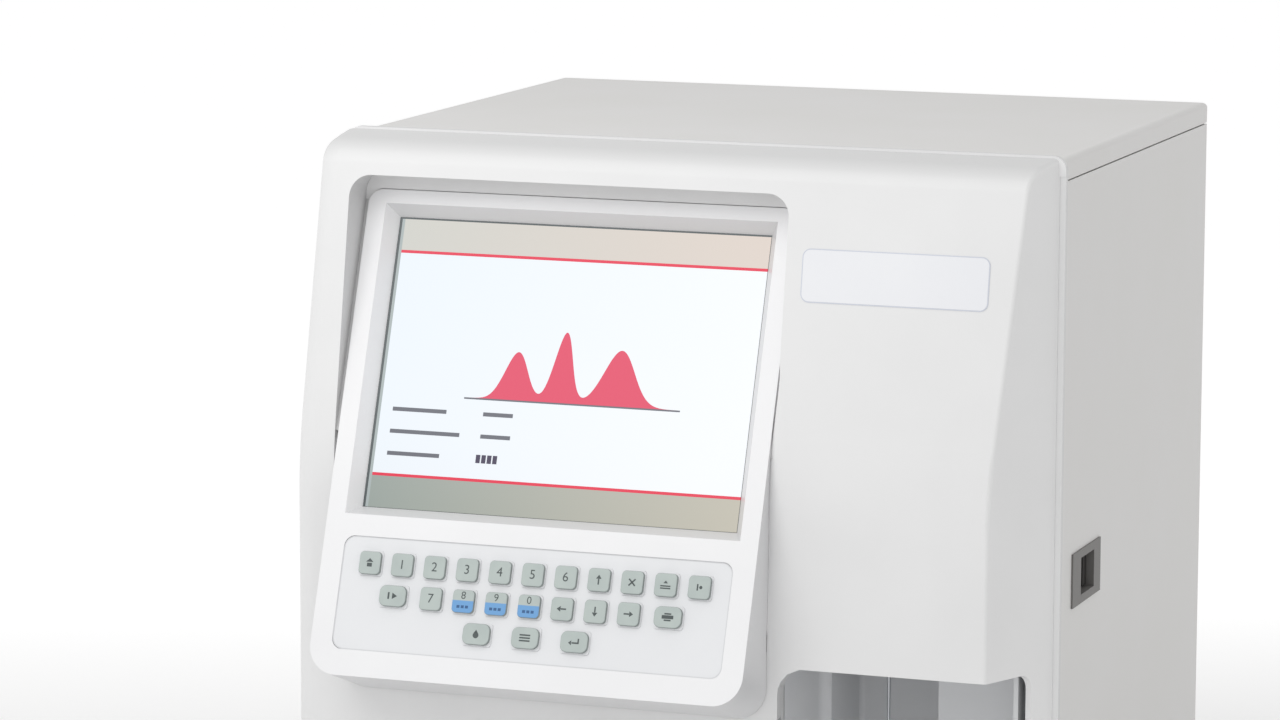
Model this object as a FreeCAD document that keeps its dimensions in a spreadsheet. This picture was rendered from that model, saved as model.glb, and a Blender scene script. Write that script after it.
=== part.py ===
import FreeCAD, Part
import math
import os

import Sketcher
from FreeCAD import Placement, Rotation, Vector

# Bench blood cell counter: a metal cabinet with a moulded front, a tilted console with a screen and
# 23 keys, and a sampling bay with a needle at the right.
# Working axes: x from the cabinet's middle plane to the right, y back from the joint between the
# moulded front and the cabinet, z up from the table. Sizes are in millimetres.

SIZES = {
    # cabinet
    "overall_height": 460.0,
    "bay_side_width": 157.5,
    "cover_inset": 3.5,
    "cover_drop": 2.5,
    "cabinet_depth": 307.5,
    "lip_height": 11.4,
    "seam_gap": 0.8,
    "sheet": 1.2,
    "cover_bend": 3.0,
    "panel_fold": 9.0,
    "panel_clearance": 0.8,
    "base_height": 14.0,
    "base_sheet": 2.0,
    "base_reach": 29.0,
    "foot_radius": 13.0,
    "foot_spread": 320.0,
    "foot_front": 15.0,
    "foot_rear": 285.0,
    "bulkhead_sheet": 1.2,
    # moulded front
    "moulding": 3.0,
    "bead_width": 4.0,
    "bead_height": 1.2,
    "bead_corner": 7.0,
    "rim_groove": 2.0,
    "shoulder_reach": 25.0,
    "shoulder_drop": 7.0,
    "shoulder_round": 15.0,
    "front_reach": 53.0,
    "lean_drop": 172.0,
    "lean_round": 280.0,
    "toe_round": 25.0,
    "right_setback": 23.0,
    "flank_step": 10.5,
    "flank_depth": 20.0,
    "flank_round": 22.0,
    "flank_flare": 4.0,
    "left_round": 12.0,
    "right_round": 2.5,
    # console
    "console_tilt": 19.85,
    "console_back": 11.1,
    "console_drop": 45.3,
    "console_side": 14.0,
    "console_above": 13.0,
    "console_depth": 30.0,
    "console_wall": 2.5,
    "console_face": 3.0,
    "console_low_round": 16.0,
    "console_high_round": 8.0,
    "recess_side_gap": 2.6,
    "recess_top_gap": 10.0,
    "recess_round": 12.0,
    "recess_overlap": 21.0,
    "ledge_depth": 6.0,
    "ledge_thickness": 2.0,
    "bulge_round": 19.5,
    "fit_gap": 0.5,
    # screen
    "screen_width": 211.2,
    "screen_height": 158.4,
    "screen_border": 15.65,
    "screen_bevel": 5.5,
    "screen_depth": 9.5,
    "module_thickness": 8.0,
    "module_border": 6.5,
    # keypad
    "keypad_side": 12.0,
    "keypad_height": 61.0,
    "keypad_below": 14.0,
    "keypad_drop": 17.1,
    "keypad_round": 6.0,
    "keypad_sink": 0.5,
    "keypad_flange": 4.0,
    "flange_thickness": 1.2,
    "key_size": 13.5,
    "wide_key_width": 16.5,
    "wide_key_height": 12.5,
    "key_pitch": 18.5,
    "row_pitch": 16.7,
    "wide_offset": 21.7,
    "low_pitch": 27.5,
    "first_row": 14.3,
    "key_rise": 2.0,
    "key_corner": 1.8,
    "key_edge": 0.5,
    "key_gap": 0.4,
    "key_foot": 1.0,
    "key_travel": 1.5,
    "board_thickness": 1.6,
    # sampling bay
    "bay_width": 117.5,
    "bay_side": 20.0,
    "bay_top": 192.0,
    "bay_floor": 40.0,
    "bay_back": 20.0,
    "bay_jamb": 19.0,
    "bay_round": 14.0,
    "notch_round": 8.0,
    "liner_wall": 2.5,
    "channel_side": 6.0,
    "channel_width": 59.5,
    "channel_back": 70.0,
    "needle_side": 33.5,
    "needle_y": 34.0,
    "needle_radius": 0.9,
    "needle_tip": 108.0,
    "needle_hole": 3.0,
    "wipe_size": 22.0,
    "wipe_height": 16.0,
    "lift_height": 153.0,
    "lift_rod_radius": 3.0,
    "lift_rod_offset": 15.0,
    "running_gap": 0.05,
    "carriage_height": 20.0,
    "carriage_rest": 214.0,
    "lift_plate": 3.0,
    "tube_key_width": 36.0,
    "tube_key_height": 64.0,
    "tube_key_travel": 3.0,
    # recorder
    "recorder_side": 40.0,
    "recorder_width": 110.0,
    "recorder_bottom": 42.0,
    "recorder_height": 94.0,
    "recorder_back": 20.0,
    "recorder_wall": 2.5,
    "recorder_pivot_rise": 6.0,
    "recorder_pivot_y": 51.0,
    "pivot_radius": 2.0,
    "spindle_radius": 5.9,
    "spindle_y": 16.0,
    "spindle_rise": 32.0,
    "roll_radius": 21.0,
    "roll_width": 56.0,
    "roll_gap": 0.08,
    # side door latch
    "latch_front": 31.0,
    "latch_length": 55.0,
    "latch_height": 29.0,
    "latch_middle": 231.5,
    "latch_window_front": 47.0,
    "latch_window_length": 26.0,
    "latch_window_height": 20.0,
    "latch_proud": 1.0,
    "latch_cup_depth": 9.0,
    "latch_throw": 8.0,
    "bolt_height": 9.0,
    "hinge_inset": 4.5,
    "hinge_pin_radius": 2.0,
    "hinge_sweep": 7.8,
    # inside of the cabinet
    "divider_side": 32.5,
    "divider_front": 80.0,
    "shelf_drop": 194.0,
    "window_drop": 56.0,
    "window_size": 60.0,
    "syringe_drop": 206.0,
    "valve_drop": 56.0,
    "board_rise": 169.0,
    "board_height": 215.0,
    "bath_radius": 17.0,
    "bath_height": 62.0,
    "chamber_radius": 32.0,
    "chamber_height": 120.0,
    "pump_radius": 24.0,
    "supply_length": 150.0,
    "supply_width": 82.0,
    "supply_height": 72.0,
    "barrel_radius": 9.0,
    "barrel_height": 95.0,
    "plunger_radius": 6.0,
    "plunger_stroke": 45.0,
    "valve_size": 18.0,
    # rear
    "fan_size": 80.0,
    "fan_depth": 25.0,
    "fan_side": 140.0,
    "fan_drop": 96.3,
    "blade_count": 7.0,
    "nozzle_radius": 3.2,
    "nozzle_length": 20.0,
    "nozzle_pitch": 26.0,
    "nozzle_side": 52.0,
    "nozzle_rise": 64.0,
    "inlet_side": 80.0,
    "inlet_rise": 54.0,
    "inlet_width": 48.0,
    "inlet_height": 60.0,
}


class Size(float):
    """A size that carries both its number and the sheet's formula for it."""

    def __new__(cls, value, text):
        made = float.__new__(cls, value)
        made.text = text
        return made

    def combined(self, other, sign, value, swapped=False):
        first, second = text_of(self), text_of(other)
        if swapped:
            first, second = second, first
        return Size(value, f"({first} {sign} {second})")

    def __add__(self, other):
        return self.combined(other, "+", float(self) + float(other))

    def __radd__(self, other):
        return self.combined(other, "+", float(self) + float(other), True)

    def __sub__(self, other):
        return self.combined(other, "-", float(self) - float(other))

    def __rsub__(self, other):
        return self.combined(other, "-", float(other) - float(self), True)

    def __mul__(self, other):
        return self.combined(other, "*", float(self) * float(other))

    def __rmul__(self, other):
        return self.combined(other, "*", float(self) * float(other), True)

    def __truediv__(self, other):
        return self.combined(other, "/", float(self) / float(other))

    def __neg__(self):
        return -1 * self


def text_of(value):
    return value.text if isinstance(value, Size) else repr(float(value))


doc = FreeCAD.newDocument("CellCounter")
sheet = doc.addObject("Spreadsheet::Sheet", "Sizes")
for row, (alias, value) in enumerate(SIZES.items(), 1):
    sheet.set(f"A{row}", str(value))
    sheet.setAlias(f"A{row}", alias)
doc.recompute()


class SheetSizes:
    """Gives each cell of the sheet by its alias."""

    def __getattr__(self, alias):
        return Size(sheet.get(alias), f"Sizes.{alias}")


s = SheetSizes()
subparts = []


# Objects bound to the sheet

def bind(thing, prop, value):
    thing.setExpression(prop, text_of(value))


def block(x, y, z):
    """A box between pairs of coordinates."""
    box = doc.addObject("Part::Box", "Block")
    for prop, axis, (low, high) in (("Length", "x", x), ("Width", "y", y), ("Height", "z", z)):
        bind(box, prop, high - low)
        bind(box, f"Placement.Base.{axis}", low)
    return box


TURNS = {
    "X": Rotation(Vector(0, 1, 0), 90),
    "Y": Rotation(Vector(1, 0, 0), -90),
    "Z": Rotation(),
}


def rod(radius, start, length, along):
    """A cylinder from its start point along one axis."""
    cylinder = doc.addObject("Part::Cylinder", "Rod")
    cylinder.Placement = Placement(Vector(), TURNS[along])
    bind(cylinder, "Radius", radius)
    bind(cylinder, "Height", length)
    for axis, value in zip("xyz", start):
        bind(cylinder, f"Placement.Base.{axis}", value)
    return cylinder


def fuse(*things):
    joined = doc.addObject("Part::MultiFuse", "Joined")
    joined.Shapes = list(things)
    return joined


def cut(base, *tools):
    made = doc.addObject("Part::Cut", "Cut")
    made.Base = base
    made.Tool = tools[0] if len(tools) == 1 else fuse(*tools)
    return made


def group(*things):
    """Separate solids that share one sub-part."""
    compound = doc.addObject("Part::Compound", "Group")
    compound.Links = list(things)
    return compound


def origin_plane(body, role):
    return next(f for f in body.Origin.OriginFeatures if f.Role == role)


def new_sketch(body, plane, height=0.0):
    sketch = body.newObject("Sketcher::SketchObject", "Sketch")
    sketch.AttachmentSupport = [(origin_plane(body, plane), "")]
    sketch.MapMode = "FlatFace"
    bind(sketch, "AttachmentOffset.Base.z", height)
    return sketch


def draw_polygon(sketch, points):
    """Straight lines through points, each point held by its two coordinates."""
    first = sketch.GeometryCount
    count = len(points)
    for index, (x, y) in enumerate(points):
        following = points[(index + 1) % count]
        start = Vector(float(x), float(y), 0)
        end = Vector(float(following[0]), float(following[1]), 0)
        sketch.addGeometry(Part.LineSegment(start, end), False)
    for index in range(count):
        after = first + (index + 1) % count
        sketch.addConstraint(Sketcher.Constraint("Coincident", first + index, 2, after, 1))
    for index, point in enumerate(points):
        for direction, value in zip(("DistanceX", "DistanceY"), point):
            line = first + index
            held = Sketcher.Constraint(direction, -1, 1, line, 1, float(value))
            name = f"{direction}{line}"
            sketch.renameConstraint(sketch.addConstraint(held), name)
            bind(sketch, f"Constraints.{name}", value)


def draw_rectangle(sketch, x, y):
    draw_polygon(sketch, [(x[0], y[0]), (x[1], y[0]), (x[1], y[1]), (x[0], y[1])])


def draw_circle(sketch, x, y, radius):
    line = sketch.addGeometry(Part.Circle(Vector(float(x), float(y), 0), Vector(0, 0, 1), float(radius)), False)
    for direction, value in (("DistanceX", x), ("DistanceY", y)):
        held = Sketcher.Constraint(direction, -1, 1, line, 3, float(value))
        name = f"{direction}{line}"
        sketch.renameConstraint(sketch.addConstraint(held), name)
        bind(sketch, f"Constraints.{name}", value)
    name = f"Radius{line}"
    sketch.renameConstraint(sketch.addConstraint(Sketcher.Constraint("Radius", line, float(radius))), name)
    bind(sketch, f"Constraints.{name}", radius)


def pad(body, sketch, length, backwards=False):
    feature = body.newObject("PartDesign::Pad", "Pad")
    feature.Profile = sketch
    feature.Reversed = backwards
    bind(feature, "Length", length)
    doc.recompute()
    return feature


def pocket(body, sketch, length, backwards=False):
    feature = body.newObject("PartDesign::Pocket", "Pocket")
    feature.Profile = sketch
    feature.Reversed = backwards
    bind(feature, "Length", length)
    doc.recompute()
    return feature


def round_edges(body, radius, wanted, kind="PartDesign::Fillet"):
    """Rounds the edges of the body's last feature for which wanted(edge) is true."""
    base = body.Tip
    names = [f"Edge{i}" for i, edge in enumerate(base.Shape.Edges, 1) if wanted(edge)]
    feature = body.newObject(kind, "Edges")
    feature.Base = (base, names)
    bind(feature, "Radius" if kind.endswith("Fillet") else "Size", radius)
    doc.recompute()
    return feature


def runs_along(edge, axis):
    direction = edge.Vertexes[-1].Point - edge.Vertexes[0].Point
    return abs(direction.normalize().dot(axis)) > 0.999 if direction.Length > 0 else False


def lies_at(edge, axis, height):
    return all(abs(vertex.Point.dot(axis) - height) < 0.001 for vertex in edge.Vertexes)


# Shapes made with Part's own functions

def outline(corners, place):
    """A closed face through corners (a, b, radius), put into space by place(a, b)."""
    count = len(corners)
    flat = [Vector(float(a), float(b), 0) for a, b, radius in corners]
    edges = []
    ends = []
    for index, (a, b, radius) in enumerate(corners):
        here = flat[index]
        to_last = (flat[index - 1] - here).normalize()
        to_next = (flat[(index + 1) % count] - here).normalize()
        if radius:
            half = math.acos(to_last.dot(to_next)) / 2
            reach = float(radius) / math.tan(half)
            middle_way = (to_last + to_next).normalize()
            middle = here + middle_way * (float(radius) / math.sin(half) - float(radius))
            ends.append((here + to_last * reach, middle, here + to_next * reach))
        else:
            ends.append((here, None, here))
    for index, (start, middle, end) in enumerate(ends):
        if middle is not None:
            edges.append(Part.Arc(place(start), place(middle), place(end)).toShape())
        following = ends[(index + 1) % count][0]
        if (following - end).Length > 1e-6:
            edges.append(Part.LineSegment(place(end), place(following)).toShape())
    return Part.Face(Part.Wire(edges))


def plan_prism(corners, low, high):
    """A plan outline (x, y) raised from z = low to z = high."""
    face = outline(corners, lambda p: Vector(p.x, p.y, float(low)))
    return face.extrude(Vector(0, 0, float(high) - float(low)))


def front_prism(corners, near, far):
    """A front outline (x, z) run from y = near to y = far."""
    face = outline(corners, lambda p: Vector(p.x, float(near), p.y))
    return face.extrude(Vector(0, float(far) - float(near), 0))


def side_prism(corners, left, right):
    """A side outline (y, z) run from x = left to x = right."""
    face = outline(corners, lambda p: Vector(float(left), p.x, p.y))
    return face.extrude(Vector(float(right) - float(left), 0, 0))


def rectangle(low_a, high_a, low_b, high_b, radius=0.0):
    return [(low_a, low_b, radius), (high_a, low_b, radius), (high_a, high_b, radius), (low_a, high_b, radius)]


def solid_box(x, y, z):
    size = [float(high) - float(low) for low, high in (x, y, z)]
    return Part.makeBox(*size, Vector(float(x[0]), float(y[0]), float(z[0])))


def solid_rod(radius, start, length, axis):
    return Part.makeCylinder(float(radius), float(length), Vector(*map(float, start)), axis)


X, Y, Z = Vector(1, 0, 0), Vector(0, 1, 0), Vector(0, 0, 1)

# Outline of the console and the front, from the screen outward

console_width = s.screen_width + 2 * s.screen_border
keypad_top = s.screen_height + s.keypad_drop
console_below = keypad_top + s.keypad_height + s.keypad_below
console_height = s.console_above + console_below
rim_width = console_width + s.bay_side_width
half_rim = rim_width / 2
half_cover = half_rim - s.cover_inset
console_left = half_rim - s.console_side
screen_left = console_left - s.screen_border
tilt = math.radians(s.console_tilt)

# The origin is at the middle of the whole footprint, on the table. The left wall flares out until its
# rounded front corner turns back, and the hose nozzles reach farthest to the rear.
flank_slope = s.flank_flare / (s.front_reach - s.flank_depth - s.bead_width)
flank_run = s.front_reach - s.flank_depth - s.bead_width - s.left_round
flare_out = s.flank_step + flank_slope * flank_run - s.left_round * (1 / math.cos(math.atan(flank_slope)) - 1)
console_front = s.console_back + console_below * math.sin(tilt)
rear_end = s.cabinet_depth + s.nozzle_length
HOME = Placement(Vector(flare_out / 2, (console_front - rear_end) / 2, 0), Rotation())
CONSOLE = HOME * Placement(
    Vector(0, -s.console_back, s.overall_height - s.console_drop),
    Rotation(X, 90 - s.console_tilt),
)


def keep(label, thing, placement=HOME):
    """Names a finished sub-part and puts it in its place."""
    thing.Label = label
    thing.Placement = placement
    subparts.append(thing)


def keep_shape(label, shape, placement=HOME):
    feature = doc.addObject("Part::Feature", label)
    feature.Shape = shape.removeSplitter()
    keep(label, feature, placement)


def console_solid(shape):
    """A solid drawn in the console's own axes, moved to the working axes."""
    moved = shape.copy()
    moved.Placement = HOME.inverse() * CONSOLE
    return moved


# Shared levels of the cabinet

cover_top = s.overall_height - s.cover_drop
cover_under = cover_top - s.sheet
panel_top = cover_top - s.lip_height - s.seam_gap
base_top = s.base_height + s.base_sheet
panel_front = s.panel_clearance
panel_bottom = base_top + s.panel_clearance
rear_inside = s.cabinet_depth - s.sheet
bulkhead_front = 0.4
bulkhead_back = s.bulkhead_sheet + bulkhead_front

# Places that follow the console, the bay or the cabinet

console_right = console_width - console_left
recess_left = -console_left - s.recess_side_gap
recess_right = console_right + s.recess_side_gap
console_top = s.overall_height - s.console_drop
recess_top = console_top + s.console_above * math.cos(tilt) + s.recess_top_gap
recess_bottom = console_top - console_below * math.cos(tilt) + s.recess_overlap
bay_right = half_rim - s.bay_side
bay_left = bay_right - s.bay_width
channel_left = bay_left + s.channel_side
channel_right = channel_left + s.channel_width
needle_x = bay_left + s.needle_side
lift_top = s.bay_top + s.lift_height
recorder_left = half_rim - s.recorder_side
divider_x = bay_left - s.divider_side
shelf_low = cover_under - s.shelf_drop
shelf_top = shelf_low + 2
syringe_low = cover_under - s.syringe_drop
valve_z = shelf_low - s.valve_drop
board_x = -half_cover + 12.5
board_low = base_top + s.board_rise
board_high = board_low + s.board_height
supply_x = (-half_rim + s.console_side, -half_rim + s.console_side + s.supply_width)
fan_x = -half_rim + s.fan_side
fan_z = cover_under - s.fan_drop
nozzle_x = half_rim - s.nozzle_side - 3 * s.nozzle_pitch
nozzle_z = base_top + s.nozzle_rise
inlet_x = -half_rim + s.inlet_side
inlet_z = base_top + s.inlet_rise


def front_form(inset, rear):
    """The solid form of the moulded front, shrunk all round by inset and run back to y = rear."""
    top = s.overall_height - s.bead_height - inset
    bottom = base_top + inset
    front = s.front_reach - inset
    side = [
        (rear, top, 0),
        (-s.bead_width, top, 0),
        (-s.shoulder_reach + inset, s.overall_height - s.shoulder_drop - inset, s.shoulder_round - inset),
        (-front, s.overall_height - s.lean_drop, s.lean_round),
        (-front, bottom, s.toe_round - inset),
        (rear, bottom, 0),
    ]
    body = side_prism(side, -rim_width, rim_width)
    reach = s.front_reach + s.toe_round
    right_slope = s.right_setback / s.front_reach
    right = half_rim - s.rim_groove - inset
    left = -half_rim + inset
    step_x = left - s.flank_step
    step_y = -s.bead_width - s.flank_depth
    front_left = (step_x - flank_slope * (reach + step_y), -reach, 0)
    front_right = (right - right_slope * reach, -reach, 0)
    rear_right = (right + right_slope * rear, rear, 0)
    straight = [(step_x + flank_slope * (rear - step_y), rear, 0), front_left, front_right, rear_right]
    form = body.common(plan_prism(straight, 0, s.overall_height))
    for sign, radius in ((-1, s.left_round), (1, s.right_round)):
        chain = [e for e in form.Edges if is_front_corner(e, sign)]
        form = form.makeFillet(max(float(radius) - float(inset) * 0.8, 0.6), chain)
    rear_left = (left + s.flank_step / s.flank_depth * (rear + s.bead_width), rear, 0)
    stepped = [rear_left, (step_x, step_y, s.flank_round), front_left, front_right, rear_right]
    form = form.common(plan_prism(stepped, 0, s.overall_height))
    return form.cut(bulge_corner(inset))


def is_front_corner(edge, sign):
    """True for the edges between the front's face and one of its side walls."""
    box = edge.BoundBox
    on_side = sign * box.Center.x > float(half_rim) - float(s.right_setback) - 15
    flat_across = box.XLength > float(rim_width) / 2
    at_rear = box.YMin > -0.5 and box.ZLength > 30
    along_bottom = box.ZMax < float(s.base_height) + 12 and box.ZLength < 0.1
    across_rear = box.YLength < 0.01 and box.ZLength < 0.01
    plan_corner = box.YLength < 0.01 and box.XLength < 0.01 and box.YMin > -float(s.front_reach) + 6
    return on_side and not (flat_across or at_rear or along_bottom or across_rear or plan_corner)


def bulge_corner(inset):
    """What the soft left corner of the bulge over the bay takes off the front, next to the console."""
    left = console_right + s.fit_gap
    radius = s.bulge_round
    near = s.front_reach + 10
    middle_y = radius - s.front_reach
    low = s.bay_top - 30
    corner = solid_box((left - inset, left + radius), (-near, middle_y), (low, s.overall_height))
    corner = corner.cut(solid_rod(radius - inset, (left + radius, middle_y, 0), s.overall_height, Z))
    if inset > 0:
        corner = corner.fuse(solid_rod(inset, (left, middle_y, low), s.overall_height - low, Z))
    return corner


# Moulded front: a shell with a bead round its rear edge, a side groove, a recess for the console,
# a sampling bay open to the front and right, and a recorder opening

def front_fascia():
    """The whole moulding; cuts and walls follow the bay, the console and the recorder."""
    shell = front_form(0.0, 0.0).cut(front_form(s.moulding, 5.0))
    bead = front_prism(
        rectangle(-half_rim, half_rim, base_top, s.overall_height, s.bead_corner), -s.bead_width, 0
    ).cut(
        front_prism(
            rectangle(
                -half_rim + s.moulding,
                half_rim - s.moulding - s.rim_groove,
                base_top + s.moulding,
                s.overall_height - s.moulding - s.bead_height,
                s.bead_corner - s.moulding,
            ),
            -s.bead_width - 1,
            1,
        )
    )
    groove = solid_box(
        (half_rim - s.rim_groove * 1.6, half_rim + 1),
        (-s.bead_width - s.rim_groove, -s.bead_width + s.rim_groove / 4),
        (base_top + s.bead_corner, s.overall_height - s.bead_corner * 1.5),
    )
    solid = shell.fuse(bead).cut(groove)
    form = front_form(0.0, 0.0)
    walls = recess_prism(0.0, s.moulding, -s.front_reach - 20, -s.bead_width).common(form)
    solid = solid.fuse(walls).cut(recess_prism(0.0, 0.0, -s.front_reach - 20, 10))
    solid = solid.fuse(recess_ledge().common(form))
    return solid.cut(bay_cut()).cut(recorder_hole())


def recess_ledge():
    """The floor of the gap round the console: parallel to its face at the sides, upright at the top."""
    near = -s.front_reach - 20
    reach = s.recess_top_gap + s.recess_side_gap
    inside = recess_prism(0.0, 0.0, near, -s.bead_width)
    sides = console_solid(console_outline(-reach, -s.ledge_depth, s.ledge_thickness)).common(inside)
    back = recess_prism(0.0, 0.0, -s.bead_width - s.ledge_thickness, -s.bead_width)
    hole = console_outline(-s.fit_gap, 1.0, s.front_reach + console_front)
    return sides.fuse(back).cut(console_solid(hole))


def recess_prism(gap, wall, near, far):
    """The console's opening, or with a wall the frame of that thickness round it."""
    def ring(offset):
        corner = s.recess_round + offset
        return front_prism(
            [
                (recess_left - offset, recess_bottom - offset, 0),
                (recess_right + offset, recess_bottom - offset, 0),
                (recess_right + offset, recess_top + offset, corner),
                (recess_left - offset, recess_top + offset, corner),
            ],
            near,
            far,
        )

    hole = ring(-gap)
    return ring(wall).cut(hole) if wall else hole


def bay_cut():
    """What the sampling bay takes out of the moulded front."""
    far_right = rim_width
    front = [
        (bay_left, s.bay_floor, s.bay_round / 2),
        (far_right, s.bay_floor, 0),
        (far_right, s.bay_top, 0),
        (bay_left, s.bay_top, s.bay_round),
    ]
    side = [
        (-s.front_reach - 20, s.bay_floor - 1, 0),
        (-s.bay_jamb, s.bay_floor - 1, 0),
        (-s.bay_jamb, s.bay_top, s.notch_round),
        (-s.front_reach - 20, s.bay_top, 0),
    ]
    return front_prism(front, -s.front_reach - 20, -s.bay_jamb).common(side_prism(side, 0, far_right))


def recorder_hole():
    left = -recorder_left
    low = s.recorder_bottom
    return front_prism(
        rectangle(left, left + s.recorder_width, low, low + s.recorder_height, s.fit_gap * 3),
        -s.front_reach - 20,
        -s.front_reach + s.moulding + 3,
    )


# Console: a tilted moulding whose lower half stands out of the front

def console_outline(inset, out, depth):
    """The console's outline in its own axes, from the level out down by depth."""
    left = -console_left
    corners = [
        (left + inset, -console_below + inset, s.console_low_round - inset),
        (left + console_width - inset, -console_below + inset, s.console_low_round - inset),
        (left + console_width - inset, s.console_above - inset, s.console_high_round - inset),
        (left + inset, s.console_above - inset, s.console_high_round - inset),
    ]
    face = outline(corners, lambda p: Vector(p.x, p.y, float(out)))
    return face.extrude(Vector(0, 0, -float(depth)))


screen_right = -screen_left + s.screen_width
keypad_width = console_width - 2 * s.keypad_side
keypad_left = -console_left + s.keypad_side
keypad_low = -keypad_top - s.keypad_height
plate_level = -s.keypad_sink
flange_level = -s.console_face


def screen_frame_corners(border, level):
    low_x, high_x = -screen_left - border, screen_right + border
    low_y, high_y = -s.screen_height - border, border
    points = [(low_x, low_y), (high_x, low_y), (high_x, high_y), (low_x, high_y)]
    return Part.makePolygon([Vector(float(a), float(b), float(level)) for a, b in points + points[:1]])


def console_housing():
    reach = s.front_reach + console_front
    whole = console_solid(console_outline(0.0, 0.0, reach))
    inner = console_solid(console_outline(s.console_wall, -s.console_face, reach))
    behind = solid_box((-rim_width, rim_width), (-s.fit_gap, s.cabinet_depth), (0, s.overall_height))
    proud = whole.cut(front_form(-s.fit_gap, 0.0)).cut(behind)
    sunk = console_solid(console_outline(0.0, 0.0, s.console_depth)).common(
        recess_prism(s.fit_gap, 0.0, -s.front_reach - 60, 60)
    )
    shell = proud.fuse(sunk).cut(inner)
    bezel = Part.makeBox(
        float(s.screen_width + s.screen_bevel * 2 + s.console_wall * 2),
        float(s.screen_height + s.screen_bevel * 2 + s.console_wall * 2),
        float(s.screen_depth),
        Vector(
            float(-screen_left - s.screen_bevel - s.console_wall),
            float(-s.screen_height - s.screen_bevel - s.console_wall),
            float(-s.screen_depth),
        ),
    )
    window = Part.makeLoft(
        [screen_frame_corners(s.screen_bevel, 0.0), screen_frame_corners(0.0, -s.screen_depth)], True, True
    )
    keypad = outline(
        rectangle(
            keypad_left,
            keypad_left + keypad_width,
            keypad_low,
            keypad_low + s.keypad_height,
            s.keypad_round,
        ),
        lambda p: Vector(p.x, p.y, 1.0),
    ).extrude(Vector(0, 0, -float(s.console_face) - 2))
    return shell.fuse(console_solid(bezel)).cut(console_solid(window)).cut(console_solid(keypad))


# Screen: a flat panel behind the console's window

def display_module():
    body = doc.addObject("PartDesign::Body", "Display")
    border = s.module_border
    low = new_sketch(body, "XY_Plane", -s.screen_depth)
    draw_rectangle(
        low,
        (-screen_left - border, screen_right + border),
        (-s.screen_height - border, border),
    )
    pad(body, low, s.module_thickness, True)
    board = new_sketch(body, "XY_Plane", -s.screen_depth - s.module_thickness)
    margin = border * 2
    draw_rectangle(
        board,
        (-screen_left + margin, screen_right - margin),
        (-s.screen_height + margin, -margin),
    )
    pad(body, board, s.board_thickness, True)
    return body


# Keypad: a plate with a hole for each key, the keys, and their switch board

def key_table():
    """Every key's name, middle (x, y) in the console's axes, width and height."""
    middle = keypad_left + keypad_width / 2
    first = -keypad_top - s.first_row
    square = (s.key_size, s.key_size)
    wide = (s.wide_key_width, s.wide_key_height)
    table = []
    top_names = ["main", "1", "2", "3", "4", "5", "6", "up", "delete", "feed", "page"]
    for index, name in enumerate(top_names):
        table.append((f"key_{name}", middle + s.key_pitch * (index - 5), first, *square))
    middle_names = ["7", "8", "9", "0", "left", "down", "right"]
    second = first - s.row_pitch
    for index, name in enumerate(middle_names):
        table.append((f"key_{name}", middle + s.key_pitch * (index - 3), second, *square))
    outer = s.key_pitch * 3 + s.wide_offset
    table.append(("key_start", middle - outer, second, *wide))
    table.append(("key_print", middle + outer, second, *wide))
    for index, name in enumerate(["dilute", "menu", "enter"]):
        table.append((f"key_{name}", middle + s.low_pitch * (index - 1), second - s.row_pitch, *wide))
    return table


def around(middle, width):
    return (middle - width / 2, middle + width / 2)


def keypad_plate():
    body = doc.addObject("PartDesign::Body", "Keypad")
    gap = s.key_gap
    face = new_sketch(body, "XY_Plane", flange_level)
    draw_rectangle(
        face,
        (keypad_left + gap, keypad_left + keypad_width - gap),
        (keypad_low + gap, keypad_low + s.keypad_height - gap),
    )
    pad(body, face, plate_level - flange_level)
    round_edges(body, s.keypad_round - gap, lambda e: runs_along(e, Z))
    flange = new_sketch(body, "XY_Plane", flange_level)
    edge = s.keypad_flange
    draw_rectangle(
        flange,
        (keypad_left - edge, keypad_left + keypad_width + edge),
        (keypad_low - edge, keypad_low + s.keypad_height + edge),
    )
    pad(body, flange, s.flange_thickness, True)
    holes = new_sketch(body, "XY_Plane", plate_level)
    for name, x, y, width, height in key_table():
        draw_rectangle(holes, around(x, width + gap * 2), around(y, height + gap * 2))
    pocket(body, holes, s.console_face + s.flange_thickness + 1)
    return body


def key_body(width, height):
    """One key in its own axes: a cap with rounded corners and a wider foot that holds it in."""
    body = doc.addObject("PartDesign::Body", "Key")
    foot_top = flange_level - s.flange_thickness - 0.2
    cap = new_sketch(body, "XY_Plane", foot_top)
    draw_rectangle(cap, (-width / 2, width / 2), (-height / 2, height / 2))
    pad(body, cap, s.key_rise - foot_top)
    round_edges(body, s.key_corner, lambda e: runs_along(e, Z))
    round_edges(body, s.key_edge, lambda e: lies_at(e, Z, float(s.key_rise)), "PartDesign::Chamfer")
    foot = new_sketch(body, "XY_Plane", foot_top)
    edge = s.key_foot
    draw_rectangle(foot, (-width / 2 - edge, width / 2 + edge), (-height / 2 - edge, height / 2 + edge))
    pad(body, foot, s.key_foot, True)
    return body


def key_board():
    """Switch board on four posts behind the keypad plate."""
    top = flange_level - s.flange_thickness
    deck = top - 0.2 - s.key_foot - s.key_travel - 0.5
    post = s.keypad_flange
    x = (keypad_left - post, keypad_left + keypad_width + post)
    y = (keypad_low - post, keypad_low + s.keypad_height + post)
    pieces = [block(x, y, (deck - s.board_thickness, deck))]
    for side_x in ((x[0], x[0] + post), (x[1] - post, x[1])):
        for side_y in ((y[0], y[0] + post), (y[1] - post, y[1])):
            pieces.append(block(side_x, side_y, (deck, top)))
    return fuse(*pieces)


# Cabinet of folded sheet metal

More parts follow.
